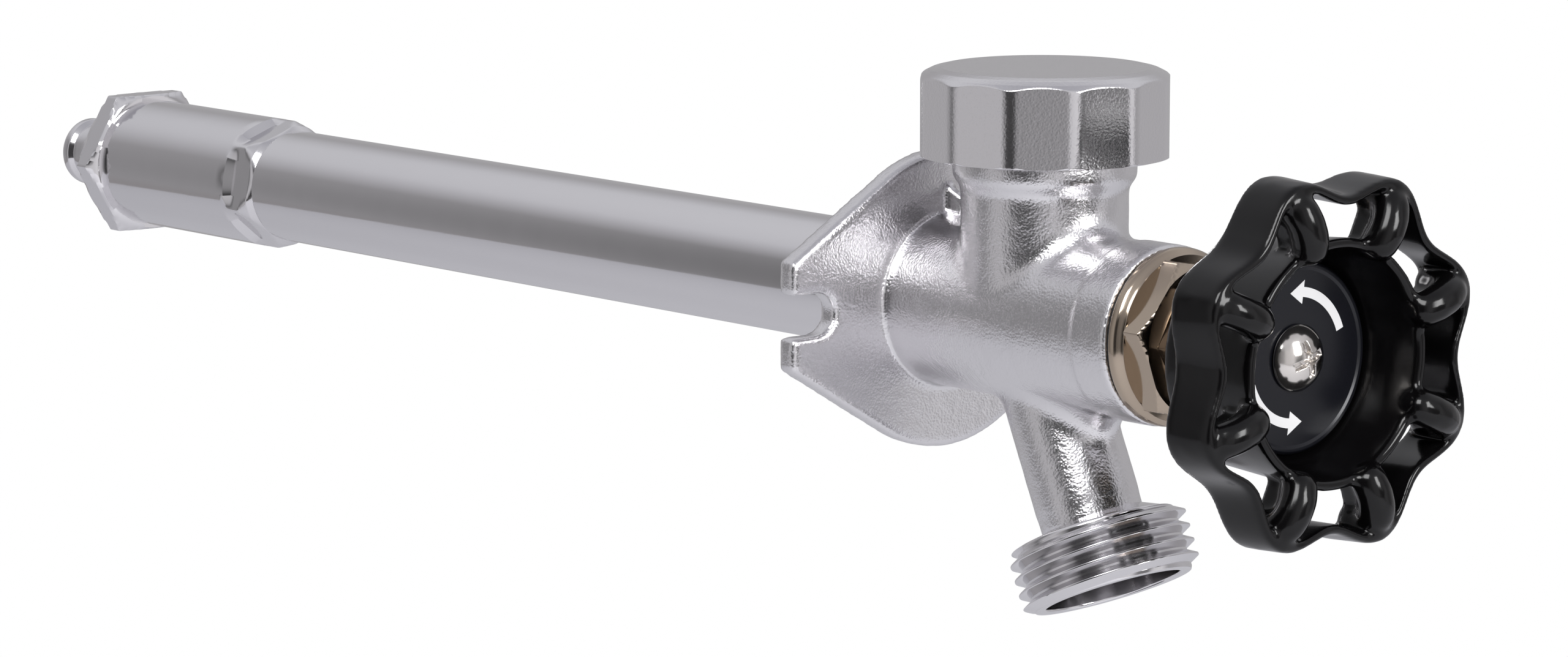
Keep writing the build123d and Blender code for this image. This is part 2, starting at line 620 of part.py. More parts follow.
with BuildPart() as handle_wheel:
    extrude(
        wavy_outline(LOBE_R, VALLEY_R, front_plane(RIM_BACK)), amount=RIM_BACK - RIM_FRONT
    )
    extrude(
        wavy_outline(LOBE_R - RIM_T, VALLEY_R - RIM_T, front_plane(RIM_BACK + 1)),
        amount=RIM_BACK - RIM_FRONT + 2, mode=Mode.SUBTRACT,
    )
    # fingers across the front, with a rib behind each
    add(fingers.part)
    with BuildSketch(front_plane(RIB_BACK)):
        with PolarLocations((CUP_MOUTH_R + LOBE_R) / 2 - 1, HANDLE_LOBES, HANDLE_TURN):
            Rectangle(LOBE_R - CUP_MOUTH_R, RIB_T)
    extrude(amount=RIB_BACK - FINGER_FRONT - 2)
    # cup, open at both ends, with a web across it and a hub behind the web
    cup = [
        (0, WEB_FRONT), (DISC_R + 0.7, WEB_FRONT), (CUP_MOUTH_R - CUP_WALL, CUP_FRONT),
        (CUP_MOUTH_R, CUP_FRONT), (CUP_BACK_R, CUP_BACK), (CUP_BACK_R - CUP_WALL, CUP_BACK),
        (CUP_BACK_R - CUP_WALL, WEB_FRONT + WEB_T), (HUB_R, WEB_FRONT + WEB_T),
        (HUB_R - 0.4, SPLINE_START), (0, SPLINE_START),
    ]
    revolve(section(cup), axis=Axis.Y)
    extrude(spline_profile.sketch, amount=SPLINE_START - WEB_FRONT + 1, mode=Mode.SUBTRACT)
handle_wheel.part.label = "handle_wheel"
export_step(handle_wheel.part, "parts/handle_wheel.step")

with BuildPart() as handle_label_disc:
    disc = [
        (SCREW_SHANK_R + 0.1, WEB_FRONT), (DISC_R, WEB_FRONT), (DISC_R, DISC_FACE + 0.4),
        (DISC_R - 0.6, DISC_FACE - 0.1), (DISC_R - 1.2, DISC_FACE - 0.1),
        (DISC_R - 1.5, DISC_FACE), (SCREW_SHANK_R + 0.1, DISC_FACE),
    ]
    revolve(section(disc), axis=Axis.Y)
handle_label_disc.part.label = "handle_label_disc"
export_step(handle_label_disc.part, "parts/handle_label_disc.step")

with BuildPart() as handle_screw:
    with BuildSketch(Plane.XY):
        with BuildLine():
            Polyline(
                (0, DISC_FACE - SCREW_HEAD_H), (0, SPINDLE_END + 10),
                (SCREW_SHANK_R, SPINDLE_END + 10), (SCREW_SHANK_R, DISC_FACE),
                (SCREW_HEAD_R, DISC_FACE), (SCREW_HEAD_R, DISC_FACE - 0.5),
            )
            ThreePointArc(
                (SCREW_HEAD_R, DISC_FACE - 0.5),
                (SCREW_HEAD_R * 0.66, DISC_FACE - SCREW_HEAD_H * 0.72),
                (0, DISC_FACE - SCREW_HEAD_H),
            )
        make_face()
    revolve(axis=Axis.Y)
    with BuildSketch(front_plane(DISC_FACE - SCREW_HEAD_H + RECESS_DEPTH)):
        with PolarLocations(0, 2, RECESS_TURN, 90):
            Rectangle(RECESS_LENGTH, RECESS_WIDTH)
    extrude(amount=RECESS_DEPTH + 1, mode=Mode.SUBTRACT)
handle_screw.part.label = "handle_screw"
export_step(handle_screw.part, "parts/handle_screw.step")

# ---- vacuum breaker -----------------------------------------------------
with BuildPart() as vacuum_breaker_cap:
    with BuildSketch(neck_plane.offset(CAP_BOTTOM)):
        RegularPolygon(
            CAP_AF / 2, CAP_SIDES, major_radius=False,
            rotation=CAP_FLAT_ANGLE + 180 / CAP_SIDES,
        )
    extrude(amount=CAP_TOP - CAP_BOTTOM)
    cap_corner = CAP_AF / 2 / cos(radians(180 / CAP_SIDES))
    with BuildSketch(neck_section):
        with BuildLine():
            edge_r = cap_corner + 0.1
            Line((0, CAP_BOTTOM), (cap_corner - 0.35, CAP_BOTTOM))
            Line((cap_corner - 0.35, CAP_BOTTOM), (edge_r, CAP_BOTTOM + 0.45))
            Line((edge_r, CAP_BOTTOM + 0.45), (edge_r, CAP_EDGE_Z))
            ThreePointArc((edge_r, CAP_EDGE_Z), (edge_r - 1.0, CAP_TOP - 0.95), (CAP_TOP_R, CAP_TOP))
            Line((CAP_TOP_R, CAP_TOP), (0, CAP_TOP))
            Line((0, CAP_TOP), (0, CAP_BOTTOM))
        make_face()
    revolve(axis=neck_axis, mode=Mode.INTERSECT)
    cavity = ring_section(0, NECK_THREAD_R, CAP_BOTTOM - 1, CAP_CEILING, neck_section)
    revolve(cavity, axis=neck_axis, mode=Mode.SUBTRACT)
vacuum_breaker_cap.part.label = "vacuum_breaker_cap"
export_step(vacuum_breaker_cap.part, "parts/vacuum_breaker_cap.step")

with BuildPart() as cap_gasket:
    gasket = ring_section(VENT_BORE_R + 0.2, NECK_THREAD_R - 0.1, NECK_TOP, CAP_CEILING, neck_section)
    revolve(gasket, axis=neck_axis)
cap_gasket.part.label = "cap_gasket"
export_step(cap_gasket.part, "parts/cap_gasket.step")

seal_ring_r = VENT_BORE_R - 0.95
with BuildPart() as vent_seat_ring:
    with BuildSketch(neck_section):
        with Locations((seal_ring_r, VENT_FLOOR + 0.9)):
            Circle(0.9)
    revolve(axis=neck_axis)
vent_seat_ring.part.label = "vent_seat_ring"
export_step(vent_seat_ring.part, "parts/vent_seat_ring.step")

with BuildPart() as vent_seat:
    seat_outline = [
        (VENT_PORT_R, VENT_FLOOR), (seal_ring_r - 1.0, VENT_FLOOR),
        (seal_ring_r - 1.0, VENT_FLOOR + 1.85), (VENT_BORE_R, VENT_FLOOR + 1.85),
        (VENT_BORE_R, VENT_FLOOR + 3.2), (VENT_PORT_R + 1.4, VENT_FLOOR + 3.2),
        (VENT_PORT_R + 0.9, SEAL_BOTTOM - 0.05), (VENT_PORT_R, SEAL_BOTTOM - 0.05),
    ]
    revolve(section(seat_outline, neck_section), axis=neck_axis)
vent_seat.part.label = "vent_seat"
export_step(vent_seat.part, "parts/vent_seat.step")

with BuildPart() as vent_float:
    float_outline = [
        (0, SEAL_BOTTOM), (SEAL_BORE_R, SEAL_BOTTOM), (SEAL_BORE_R, SEAL_BOTTOM + SEAL_T),
        (FLOAT_R, SEAL_BOTTOM + SEAL_T), (FLOAT_R, FLOAT_TOP - 0.8), (FLOAT_R - 0.8, FLOAT_TOP),
        (GUIDE_R, FLOAT_TOP), (GUIDE_R, CAGE_TOP - FLOAT_TRAVEL), (0, CAGE_TOP - FLOAT_TRAVEL),
    ]
    revolve(section(float_outline, neck_section), axis=neck_axis)
vent_float.part.label = "vent_float"
export_step(vent_float.part, "parts/vent_float.step")

with BuildPart() as float_seal:
    seal_top = SEAL_BOTTOM + SEAL_T
    seal = ring_section(SEAL_BORE_R, VENT_PORT_R + 1.9, SEAL_BOTTOM, seal_top, neck_section)
    revolve(seal, axis=neck_axis)
float_seal.part.label = "float_seal"
export_step(float_seal.part, "parts/float_seal.step")

with BuildPart() as vent_cage:
    with BuildSketch(neck_plane.offset(CAGE_BOTTOM)):
        Circle(VENT_BORE_R)
        Circle(CAGE_BORE_R, mode=Mode.SUBTRACT)
    extrude(amount=CAGE_TOP - CAGE_BOTTOM)
    with BuildSketch(neck_plane.offset(CAGE_BOTTOM)):
        Circle(GUIDE_R + 1.5)
        with PolarLocations(5.6, 3, 90):
            Rectangle(4.6, 1.8)
        Circle(GUIDE_R + RUNNING_GAP, mode=Mode.SUBTRACT)
    extrude(amount=CAGE_SPOKE_T)
vent_cage.part.label = "vent_cage"
export_step(vent_cage.part, "parts/vent_cage.step")
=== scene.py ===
"""Frost-proof hose bib: the finished pieces, their materials and the studio, laid out as an add-on."""

from math import asin, atan2, cos, hypot, pi, radians, sin, tan

import bmesh
import bpy
from mathutils import Matrix, Vector, noise


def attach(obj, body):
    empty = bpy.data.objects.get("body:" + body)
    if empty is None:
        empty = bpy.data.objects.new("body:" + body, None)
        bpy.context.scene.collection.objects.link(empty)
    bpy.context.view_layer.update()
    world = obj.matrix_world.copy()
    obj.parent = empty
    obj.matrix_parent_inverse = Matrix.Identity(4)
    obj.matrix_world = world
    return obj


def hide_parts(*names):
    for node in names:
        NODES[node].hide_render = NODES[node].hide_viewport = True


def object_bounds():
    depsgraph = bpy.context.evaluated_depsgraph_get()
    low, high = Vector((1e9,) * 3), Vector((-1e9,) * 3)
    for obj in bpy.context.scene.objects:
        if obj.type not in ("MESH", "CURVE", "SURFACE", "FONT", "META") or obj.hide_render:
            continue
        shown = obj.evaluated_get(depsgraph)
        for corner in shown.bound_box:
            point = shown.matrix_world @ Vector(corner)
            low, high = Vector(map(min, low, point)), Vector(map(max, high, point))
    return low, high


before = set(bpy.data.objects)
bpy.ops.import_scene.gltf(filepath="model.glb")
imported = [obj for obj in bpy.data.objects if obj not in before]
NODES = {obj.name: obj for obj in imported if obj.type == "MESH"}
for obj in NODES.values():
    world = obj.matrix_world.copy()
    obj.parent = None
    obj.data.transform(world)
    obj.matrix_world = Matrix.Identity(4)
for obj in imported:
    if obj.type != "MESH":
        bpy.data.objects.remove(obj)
CAD_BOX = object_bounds()

bl_info = {
    "name": "Hose Bib Maker",
    "version": (1, 0, 0),
    "blender": (4, 5, 0),
    "location": "View3D > Sidebar > Hose Bib",
    "description": "Builds a chromed wall hose bib with a lobed black handle around its packed frame",
    "category": "Add Mesh",
}

# Every outline below is in millimetres: radius, then place along the piece's axis.
MM = 0.001
TURN_STEPS = 192          # steps round a plain turned piece
FLATS_STEPS = 384         # steps round a piece with flats
SPOUT_Y = -21.49
SPOUT_TILT = radians(24.7)
SPOUT_DIR = Vector((0, -sin(SPOUT_TILT), -cos(SPOUT_TILT)))
NECK_Y = -24.19
HOSE_MAJOR_R = 13.495
HOSE_MINOR_R = 12.06
HOSE_PITCH = 25.4 / 11.5
HOSE_LAST_CREST = 41.77
HOSE_CREST_ANGLE = 130.7
SPOUT_END = 43.1
SPOUT_R = 7.7
SPOUT_BORE_R = 5.6
CAST_SPOUT_CUT = 29.9     # where the casting's own spout is cut off
THREAD_START = 33.5       # where the first crest of the hose thread rises
BARREL_STEP_Y = -43.3     # the barrel's end is a little thicker past this place
BARREL_STEP_LENGTH = 0.35
BARREL_STEP_SHARE = 0.009
CAP_FLATS_R = 18.17
CAP_CORNER = radians(240.4)
INLET_FLATS_R = 12.0
BONNET_FLATS_R = 10.82
BONNET_CORNER = radians(50.0)
GLAND_FLATS_R = 7.95
TUBE_R = 9.525
TUBE_END = 188.0
CRIMP_TURN = radians(20.0)
RIB_ENDS = (217.2, 222.4, 228.5)
LOBES = 8
FINGER_R = 2.65
DISC_FACE = -75.77
SCREW_SPHERE_R = 5.4
SCREW_EDGE_R = 4.75
SCREW_RISE = 2.38
SCREW_EDGE_Y = -76.42
RECESS_TURN = radians(20.0)
RECESS_REACH = 2.75


# ---- sizes and colours that a user would change --------------------------
class BibSizes(bpy.types.PropertyGroup):
    """Sizes of the cast surface and of the handle's soft shapes."""

    cast_voxel: bpy.props.FloatProperty(
        name="Casting detail", description="Grid size that the casting's skin is rebuilt on",
        default=0.00044, min=0.0003, unit="LENGTH", precision=5)
    cast_softness: bpy.props.IntProperty(
        name="Casting softness", description="Smoothing passes over the casting's edges",
        default=4, min=0, max=30)
    cast_waviness: bpy.props.FloatProperty(
        name="Casting waviness", description="Height of the uneven cast surface",
        default=0.00003, min=0.0, unit="LENGTH", precision=6)
    handle_voxel: bpy.props.FloatProperty(
        name="Handle detail", description="Grid size that the handle's skin is rebuilt on",
        default=0.00041, min=0.0003, unit="LENGTH", precision=5)
    handle_softness: bpy.props.IntProperty(
        name="Handle softness", description="Smoothing passes over the enamelled handle",
        default=8, min=0, max=30)
    handle_turn: bpy.props.FloatProperty(
        name="Handle lobe angle", description="Angle of one lobe above +X",
        default=radians(20.0), subtype="ANGLE")


class BibFinish(bpy.types.PropertyGroup):
    """Colours of the finishes."""

    chrome: bpy.props.FloatVectorProperty(
        name="Chrome", description="Colour of the chrome plate",
        subtype="COLOR", size=3, default=(0.70, 0.69, 0.705), min=0.0, max=1.0)
    nickel: bpy.props.FloatVectorProperty(
        name="Nickel bronze", description="Colour of the bonnet's warm plate",
        subtype="COLOR", size=3, default=(0.42, 0.35, 0.28), min=0.0, max=1.0)
    brass: bpy.props.FloatVectorProperty(
        name="Brass", description="Colour of the turned brass inside",
        subtype="COLOR", size=3, default=(0.80, 0.58, 0.27), min=0.0, max=1.0)
    steel: bpy.props.FloatVectorProperty(
        name="Steel", description="Colour of the stainless screw",
        subtype="COLOR", size=3, default=(0.66, 0.63, 0.60), min=0.0, max=1.0)
    enamel: bpy.props.FloatVectorProperty(
        name="Enamel", description="Colour of the handle's enamel",
        subtype="COLOR", size=3, default=(0.0022, 0.0020, 0.0022), min=0.0, max=1.0)
    label: bpy.props.FloatVectorProperty(
        name="Label", description="Colour of the disc in the handle",
        subtype="COLOR", size=3, default=(0.006, 0.0065, 0.010), min=0.0, max=1.0)


class BibStudio(bpy.types.PropertyGroup):
    """Camera and lights."""

    camera_place: bpy.props.FloatVectorProperty(
        name="Camera place", description="Where the camera stands",
        subtype="TRANSLATION", size=3, unit="LENGTH", default=(-0.55794, -0.61714, 0.12755))
    camera_target: bpy.props.FloatVectorProperty(
        name="Camera target", description="Point that the camera looks at",
        subtype="TRANSLATION", size=3, unit="LENGTH", default=(-0.006716, 0.026724, -0.007569))
    camera_lens: bpy.props.FloatProperty(
        name="Camera lens", description="Focal length in millimetres on a 36 mm sensor",
        default=128.48, min=10.0)
    light_power: bpy.props.FloatProperty(
        name="Light power", description="Scale of every lamp's power",
        default=1.0, min=0.0)


def settings():
    """The three groups of settings, from the scene."""
    scene = bpy.context.scene
    return scene.bib_sizes, scene.bib_finish, scene.bib_studio


# ---- outlines and turned meshes ------------------------------------------
def rounded(points, arc_steps=4, closed=False):
    """Outline with its corners rounded: each point is (radius, place) or (radius, place, corner radius)."""
    count = len(points)
    outline = []
    for i, point in enumerate(points):
        here = Vector(point[:2])
        corner = point[2] if len(point) > 2 else 0.0
        at_end = not closed and i in (0, count - 1)
        if corner <= 0.0 or at_end:
            outline.append(here)
            continue
        before = Vector(points[i - 1][:2])
        after = Vector(points[(i + 1) % count][:2])
        back = (before - here).normalized()
        onward = (after - here).normalized()
        half = back.angle(onward) / 2
        if half > pi / 2 - 0.06:
            outline.append(here)
            continue
        reach = min(corner / tan(half), 0.48 * (before - here).length, 0.48 * (after - here).length)
        radius = reach * tan(half)
        centre = here + (back + onward).normalized() * (radius / sin(half))
        start = here + back * reach - centre
        end = here + onward * reach - centre
        for step in range(arc_steps + 1):
            share = step / arc_steps
            blend = start.slerp(end, share, start.lerp(end, share))
            outline.append(centre + blend.normalized() * radius)
    return outline


def refined(outline, longest):
    """Outline with its long lines cut into stretches no longer than the given one."""
    points = [outline[0]]
    for here, after in zip(outline, outline[1:]):
        cuts = max(1, int((after - here).length / longest + 0.999))
        points += [here.lerp(after, cut / cuts) for cut in range(1, cuts + 1)]
    return points


def spin_outline(bm, outline, steps, closed=False, sectors=12):
    """Turns an outline about +Y into the bmesh: one sector is spun, then copied round."""
    part = bmesh.new()
    verts = [part.verts.new((radius * MM, place * MM, 0)) for radius, place in outline]
    edges = [part.edges.new(pair) for pair in zip(verts, verts[1:])]
    if closed:
        edges.append(part.edges.new((verts[-1], verts[0])))
    bmesh.ops.spin(
        part, geom=verts + edges, cent=(0, 0, 0), axis=(0, 1, 0), dvec=(0, 0, 0),
        angle=2 * pi / sectors, steps=steps // sectors, use_merge=False, use_duplicate=False)
    sector = part.verts[:] + part.edges[:] + part.faces[:]
    for i in range(1, sectors):
        copied = bmesh.ops.duplicate(part, geom=sector)["geom"]
        turned = [g for g in copied if isinstance(g, bmesh.types.BMVert)]
        turn = Matrix.Rotation(2 * pi * i / sectors, 3, "Y")
        bmesh.ops.rotate(part, verts=turned, cent=(0, 0, 0), matrix=turn)
    bmesh.ops.remove_doubles(part, verts=part.verts, dist=2e-6)
    return join_into(bm, part)


def join_into(bm, part):
    """Moves one bmesh's contents into another and returns the new vertices."""
    mesh = bpy.data.meshes.new("part")
    part.to_mesh(mesh)
    part.free()
    count = len(bm.verts)
    bm.from_mesh(mesh)
    bpy.data.meshes.remove(mesh)
    bm.verts.ensure_lookup_table()
    return bm.verts[count:]


def wound_tooth(tooth, pitch, turns, steps=144):
    """Winds a tooth's outline up +Y: one turn is spun, then copied along."""
    part = bmesh.new()
    verts = [part.verts.new((radius * MM, place * MM, 0)) for radius, place in tooth]
    edges = [part.edges.new(pair) for pair in zip(verts, verts[1:])]
    edges.append(part.edges.new((verts[-1], verts[0])))
    bmesh.ops.spin(
        part, geom=verts + edges, cent=(0, 0, 0), axis=(0, 1, 0), dvec=(0, pitch / steps * MM, 0),
        angle=2 * pi, steps=steps, use_merge=False, use_duplicate=False)
    winding = part.verts[:] + part.edges[:] + part.faces[:]
    for i in range(1, turns):
        copied = bmesh.ops.duplicate(part, geom=winding)["geom"]
        moved = [g for g in copied if isinstance(g, bmesh.types.BMVert)]
        bmesh.ops.translate(part, verts=moved, vec=(0, pitch * i * MM, 0))
    bmesh.ops.remove_doubles(part, verts=part.verts, dist=2e-6)
    return part


def smooth_least(a, b, reach):
    """The smaller of two lengths, with a rounded change-over of that reach."""
    overlap = max(reach - abs(a - b), 0.0)
    return min(a, b) - overlap * overlap / (4 * reach)


def held_share(value):
    """The value, held between 0 and 1."""
    return min(max(value, 0.0), 1.0)


def cut_flats(verts, half_flats, sides, corner_angle, start, end, soft=0.25):
    """Presses flats into turned vertices between two places."""
    pitch = 2 * pi / sides
    for v in verts:
        place = v.co.y / MM
        if not start - 1e-6 <= place <= end + 1e-6:
            continue
        radius = hypot(v.co.x, v.co.z) / MM
        if radius < half_flats * 0.8:
            continue
        angle = atan2(v.co.z, v.co.x)
        offset = (angle - corner_angle) % pitch - pitch / 2
        near = half_flats / cos(offset)
        beside = half_flats / cos(min(abs(pitch - abs(offset)), pi / 2 - 0.05))
        limit = smooth_least(near, beside, soft)
        wanted = smooth_least(radius, limit, 0.08)
        v.co.x *= wanted / radius
        v.co.z *= wanted / radius


def on_neck(verts):
    """Stands vertices turned about +Y up on the neck: place becomes height."""
    for v in verts:
        v.co = Vector((v.co.x, NECK_Y * MM + v.co.z, v.co.y))


def down_spout(verts):
    """Lays vertices turned about +Y along the spout's axis."""
    turn = Vector((0, 1, 0)).rotation_difference(SPOUT_DIR).to_matrix()
    for v in verts:
        v.co = turn @ v.co + Vector((0, SPOUT_Y * MM, 0))


def finish_piece(bm, name, body, material, replaces=(), sharp=radians(40), weighted=True):
    """Makes the bmesh a smooth-shaded object that rides on a body and material."""
    bmesh.ops.recalc_face_normals(bm, faces=bm.faces)
    for face in bm.faces:
        face.smooth = True
    for edge in bm.edges:
        edge.smooth = edge.calc_face_angle(0.0) < sharp
    mesh = bpy.data.meshes.new(name)
    bm.to_mesh(mesh)
    bm.free()
    piece = bpy.data.objects.new(name, mesh)
    bpy.context.scene.collection.objects.link(piece)
    mesh.materials.append(material)
    if weighted:
        normals = piece.modifiers.new("Flat faces stay flat", "WEIGHTED_NORMAL")
        normals.keep_sharp = True
    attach(piece, body)
    if replaces:
        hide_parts(*replaces)


def rebuilt_skin(bm, voxel, passes):
    """Joins the bmesh's overlapping shells into one soft skin and returns it as a new bmesh."""
    mesh = bpy.data.meshes.new("shells")
    bm.to_mesh(mesh)
    bm.free()
    shells = bpy.data.objects.new("shells", mesh)
    bpy.context.scene.collection.objects.link(shells)
    remesh = shells.modifiers.new("Skin", "REMESH")
    remesh.mode = "VOXEL"
    remesh.voxel_size = voxel
    bpy.context.view_layer.update()
    graph = bpy.context.evaluated_depsgraph_get()
    skin = bpy.data.meshes.new_from_object(shells.evaluated_get(graph))
    bpy.data.objects.remove(shells)
    bpy.data.meshes.remove(mesh)
    soft = bmesh.new()
    soft.from_mesh(skin)
    bpy.data.meshes.remove(skin)
    for _ in range(passes):
        bmesh.ops.smooth_vert(
            soft, verts=soft.verts, factor=0.5, use_axis_x=True, use_axis_y=True, use_axis_z=True)
    return soft


def merged_copy(node, gap=2e-6):
    """A bmesh copy of a CAD node with its loose triangles joined."""
    bm = bmesh.new()
    bm.from_mesh(NODES[node].data)
    bmesh.ops.remove_doubles(bm, verts=bm.verts, dist=gap)
    return bm


# ---- shader node groups ---------------------------------------------------
def new_group(name, inputs, outputs):
    """Empty shader node group with float inputs and typed outputs."""
    group = bpy.data.node_groups.new(name, "ShaderNodeTree")
    for socket, default in inputs:
        made = group.interface.new_socket(socket, in_out="INPUT", socket_type="NodeSocketFloat")
        made.default_value = default
    for socket, kind in outputs:
        group.interface.new_socket(socket, in_out="OUTPUT", socket_type=kind)
    entry = group.nodes.new("NodeGroupInput")
    leave = group.nodes.new("NodeGroupOutput")
    place = group.nodes.new("ShaderNodeTexCoord")
    return group, entry.outputs, leave.inputs, place.outputs["Object"]


def noise_node(group, vector, scale, detail=3.0, roughness=0.5):
    """Noise texture with its scale given as a value or a socket."""
    texture = group.nodes.new("ShaderNodeTexNoise")
    group.links.new(vector, texture.inputs["Vector"])
    texture.inputs["Detail"].default_value = detail
    texture.inputs["Roughness"].default_value = roughness
    if isinstance(scale, bpy.types.NodeSocket):
        group.links.new(scale, texture.inputs["Scale"])
    else:
        texture.inputs["Scale"].default_value = scale
    return texture.outputs["Fac"]


def math_node(group, operation, a, b=None, c=None):
    """Math node on values or sockets."""
    node = group.nodes.new("ShaderNodeMath")
    node.operation = operation
    for socket, value in zip(node.inputs, (a, b, c)):
        if isinstance(value, bpy.types.NodeSocket):
            group.links.new(value, socket)
        elif value is not None:
            socket.default_value = value
    return node.outputs[0]


def range_node(group, value, low, high, to_low, to_high):
    """Maps a value from one range to another, held at its ends."""
    node = group.nodes.new("ShaderNodeMapRange")
    for socket, given in zip(
            ("Value", "From Min", "From Max", "To Min", "To Max"), (value, low, high, to_low, to_high)):
        if isinstance(given, bpy.types.NodeSocket):
            group.links.new(given, node.inputs[socket])
        else:
            node.inputs[socket].default_value = given
    return node.outputs["Result"]


def cast_skin_group():
    """Pebbled skin of a sand casting under plate: Height, and a Roughness that follows it."""
    group, given, made, place = new_group(
        "Cast Skin", [("Grain Scale", 2600.0), ("Roughness", 0.17), ("Variation", 0.1)],
        [("Height", "NodeSocketFloat"), ("Roughness", "NodeSocketFloat")])
    cells = group.nodes.new("ShaderNodeTexVoronoi")
    cells.feature = "SMOOTH_F1"
    cells.inputs["Smoothness"].default_value = 0.6
    group.links.new(place, cells.inputs["Vector"])
    group.links.new(given["Grain Scale"], cells.inputs["Scale"])
    pebbles = math_node(group, "SUBTRACT", 1.0, cells.outputs["Distance"])
    fine = noise_node(group, place, 4200.0, 3.0, 0.6)
    swell = noise_node(group, place, 420.0, 2.0, 0.5)
    rough = math_node(group, "MULTIPLY_ADD", fine, 0.55, math_node(group, "MULTIPLY", pebbles, 0.6))
    group.links.new(math_node(group, "MULTIPLY_ADD", swell, 0.5, rough), made["Height"])
    change = math_node(group, "MULTIPLY", math_node(group, "SUBTRACT", fine, 0.5), given["Variation"])
    group.links.new(math_node(group, "ADD", given["Roughness"], change), made["Roughness"])
    return group


def polish_group():
    """Wiped, polished plate: faint long waves as Height, and a Roughness with soft smears."""
    group, given, made, place = new_group(
        "Polish", [("Roughness", 0.06), ("Smears", 0.05)],
        [("Height", "NodeSocketFloat"), ("Roughness", "NodeSocketFloat")])
    waves = noise_node(group, place, 140.0, 1.0, 0.4)
    specks = noise_node(group, place, 2600.0, 2.0, 0.5)
    group.links.new(math_node(group, "MULTIPLY_ADD", specks, 0.03, waves), made["Height"])
    smears = noise_node(group, place, 60.0, 4.0, 0.6)
    change = math_node(group, "MULTIPLY", math_node(group, "SUBTRACT", smears, 0.4), given["Smears"])
    group.links.new(math_node(group, "ADD", given["Roughness"], change), made["Roughness"])
    return group


def speck_group():
    """Dust specks and orange peel on baked enamel: Height and Roughness."""
    group, given, made, place = new_group(
        "Enamel Skin", [("Roughness", 0.1), ("Speck Share", 0.03)],
        [("Height", "NodeSocketFloat"), ("Roughness", "NodeSocketFloat")])
    peel = noise_node(group, place, 520.0, 2.0, 0.4)
    grains = group.nodes.new("ShaderNodeTexVoronoi")
    grains.inputs["Scale"].default_value = 1500.0
    group.links.new(place, grains.inputs["Vector"])
    edge = math_node(group, "MULTIPLY", given["Speck Share"], 2.0)
    specks = range_node(group, grains.outputs["Distance"], 0.0, edge, 1.0, 0.0)
    height = math_node(group, "MULTIPLY_ADD", specks, 0.35, math_node(group, "MULTIPLY", peel, 0.5))
    group.links.new(height, made["Height"])
    group.links.new(
        math_node(group, "MULTIPLY_ADD", peel, 0.06, given["Roughness"]), made["Roughness"])
    return group


GROUPS = {}


def shared_group(name):
    """The named node group, built once."""
    makers = {"cast": cast_skin_group, "polish": polish_group, "enamel": speck_group}
    if name not in GROUPS:
        GROUPS[name] = makers[name]()
    return GROUPS[name]


# ---- materials -------------------------------------------------------------
def base_material(name, color, metallic, roughness):
    """Principled material with its plain values set on the shader."""
    material = bpy.data.materials.get(name)
    if material:
        return material, None
    material = bpy.data.materials.new(name)
    material.use_nodes = True
    shader = material.node_tree.nodes["Principled BSDF"]
    shader.inputs["Base Color"].default_value = (*color, 1)
    shader.inputs["Metallic"].default_value = metallic
    shader.inputs["Roughness"].default_value = roughness
    return material, shader


def add_skin(material, shader, group_name, values, bump, distance):
    """Feeds the shader's Roughness and Normal from a shared group."""
    tree = material.node_tree
    skin = tree.nodes.new("ShaderNodeGroup")
    skin.node_tree = shared_group(group_name)
    for socket, value in values.items():
        skin.inputs[socket].default_value = value
    relief = tree.nodes.new("ShaderNodeBump")
    relief.inputs["Strength"].default_value = bump
    relief.inputs["Distance"].default_value = distance
    tree.links.new(skin.outputs["Height"], relief.inputs["Height"])
    tree.links.new(skin.outputs["Roughness"], shader.inputs["Roughness"])
    tree.links.new(relief.outputs["Normal"], shader.inputs["Normal"])


def cast_chrome():
    """Chrome over a pebbled casting."""
    material, shader = base_material("Cast chrome", settings()[1].chrome, 1.0, 0.2)
    if shader:
        add_skin(material, shader, "cast", {"Roughness": 0.19, "Variation": 0.12}, 1.0, 0.00006)
    return material


def facet_chrome():
    """Chrome over the cap's lightly dressed facets."""
    material, shader = base_material("Facet chrome", settings()[1].chrome, 1.0, 0.16)
    if shader:
        add_skin(material, shader, "cast", {"Roughness": 0.12, "Variation": 0.08}, 0.8, 0.00003)
    return material


def polished_chrome():
    """Chrome over polished tube."""
    material, shader = base_material("Polished chrome", settings()[1].chrome, 1.0, 0.06)
    if shader:
        add_skin(material, shader, "polish", {"Roughness": 0.09, "Smears": 0.08}, 0.10, 0.0002)
    return material


def thread_chrome():
    """Chrome over a cut thread."""
    material, shader = base_material("Thread chrome", settings()[1].chrome, 1.0, 0.1)
    if shader:
        add_skin(material, shader, "polish", {"Roughness": 0.11, "Smears": 0.12}, 0.25, 0.0002)
    return material


def nickel_bronze():
    """Warm nickel plate on a turned nut."""
    material, shader = base_material("Nickel bronze", settings()[1].nickel, 1.0, 0.1)
    if shader:
        add_skin(material, shader, "polish", {"Roughness": 0.12, "Smears": 0.14}, 0.2, 0.0002)
    return material


def turned_brass():
    """Bare brass."""
    material, shader = base_material("Turned brass", settings()[1].brass, 1.0, 0.25)
    if shader:
        add_skin(material, shader, "polish", {"Roughness": 0.22, "Smears": 0.15}, 0.2, 0.0002)
    return material


def stainless():
    """Stamped stainless steel."""
    material, shader = base_material("Stainless steel", settings()[1].steel, 1.0, 0.15)
    if shader:
        add_skin(material, shader, "cast", {"Grain Scale": 1500.0, "Roughness": 0.14}, 0.10, 0.00005)
    return material


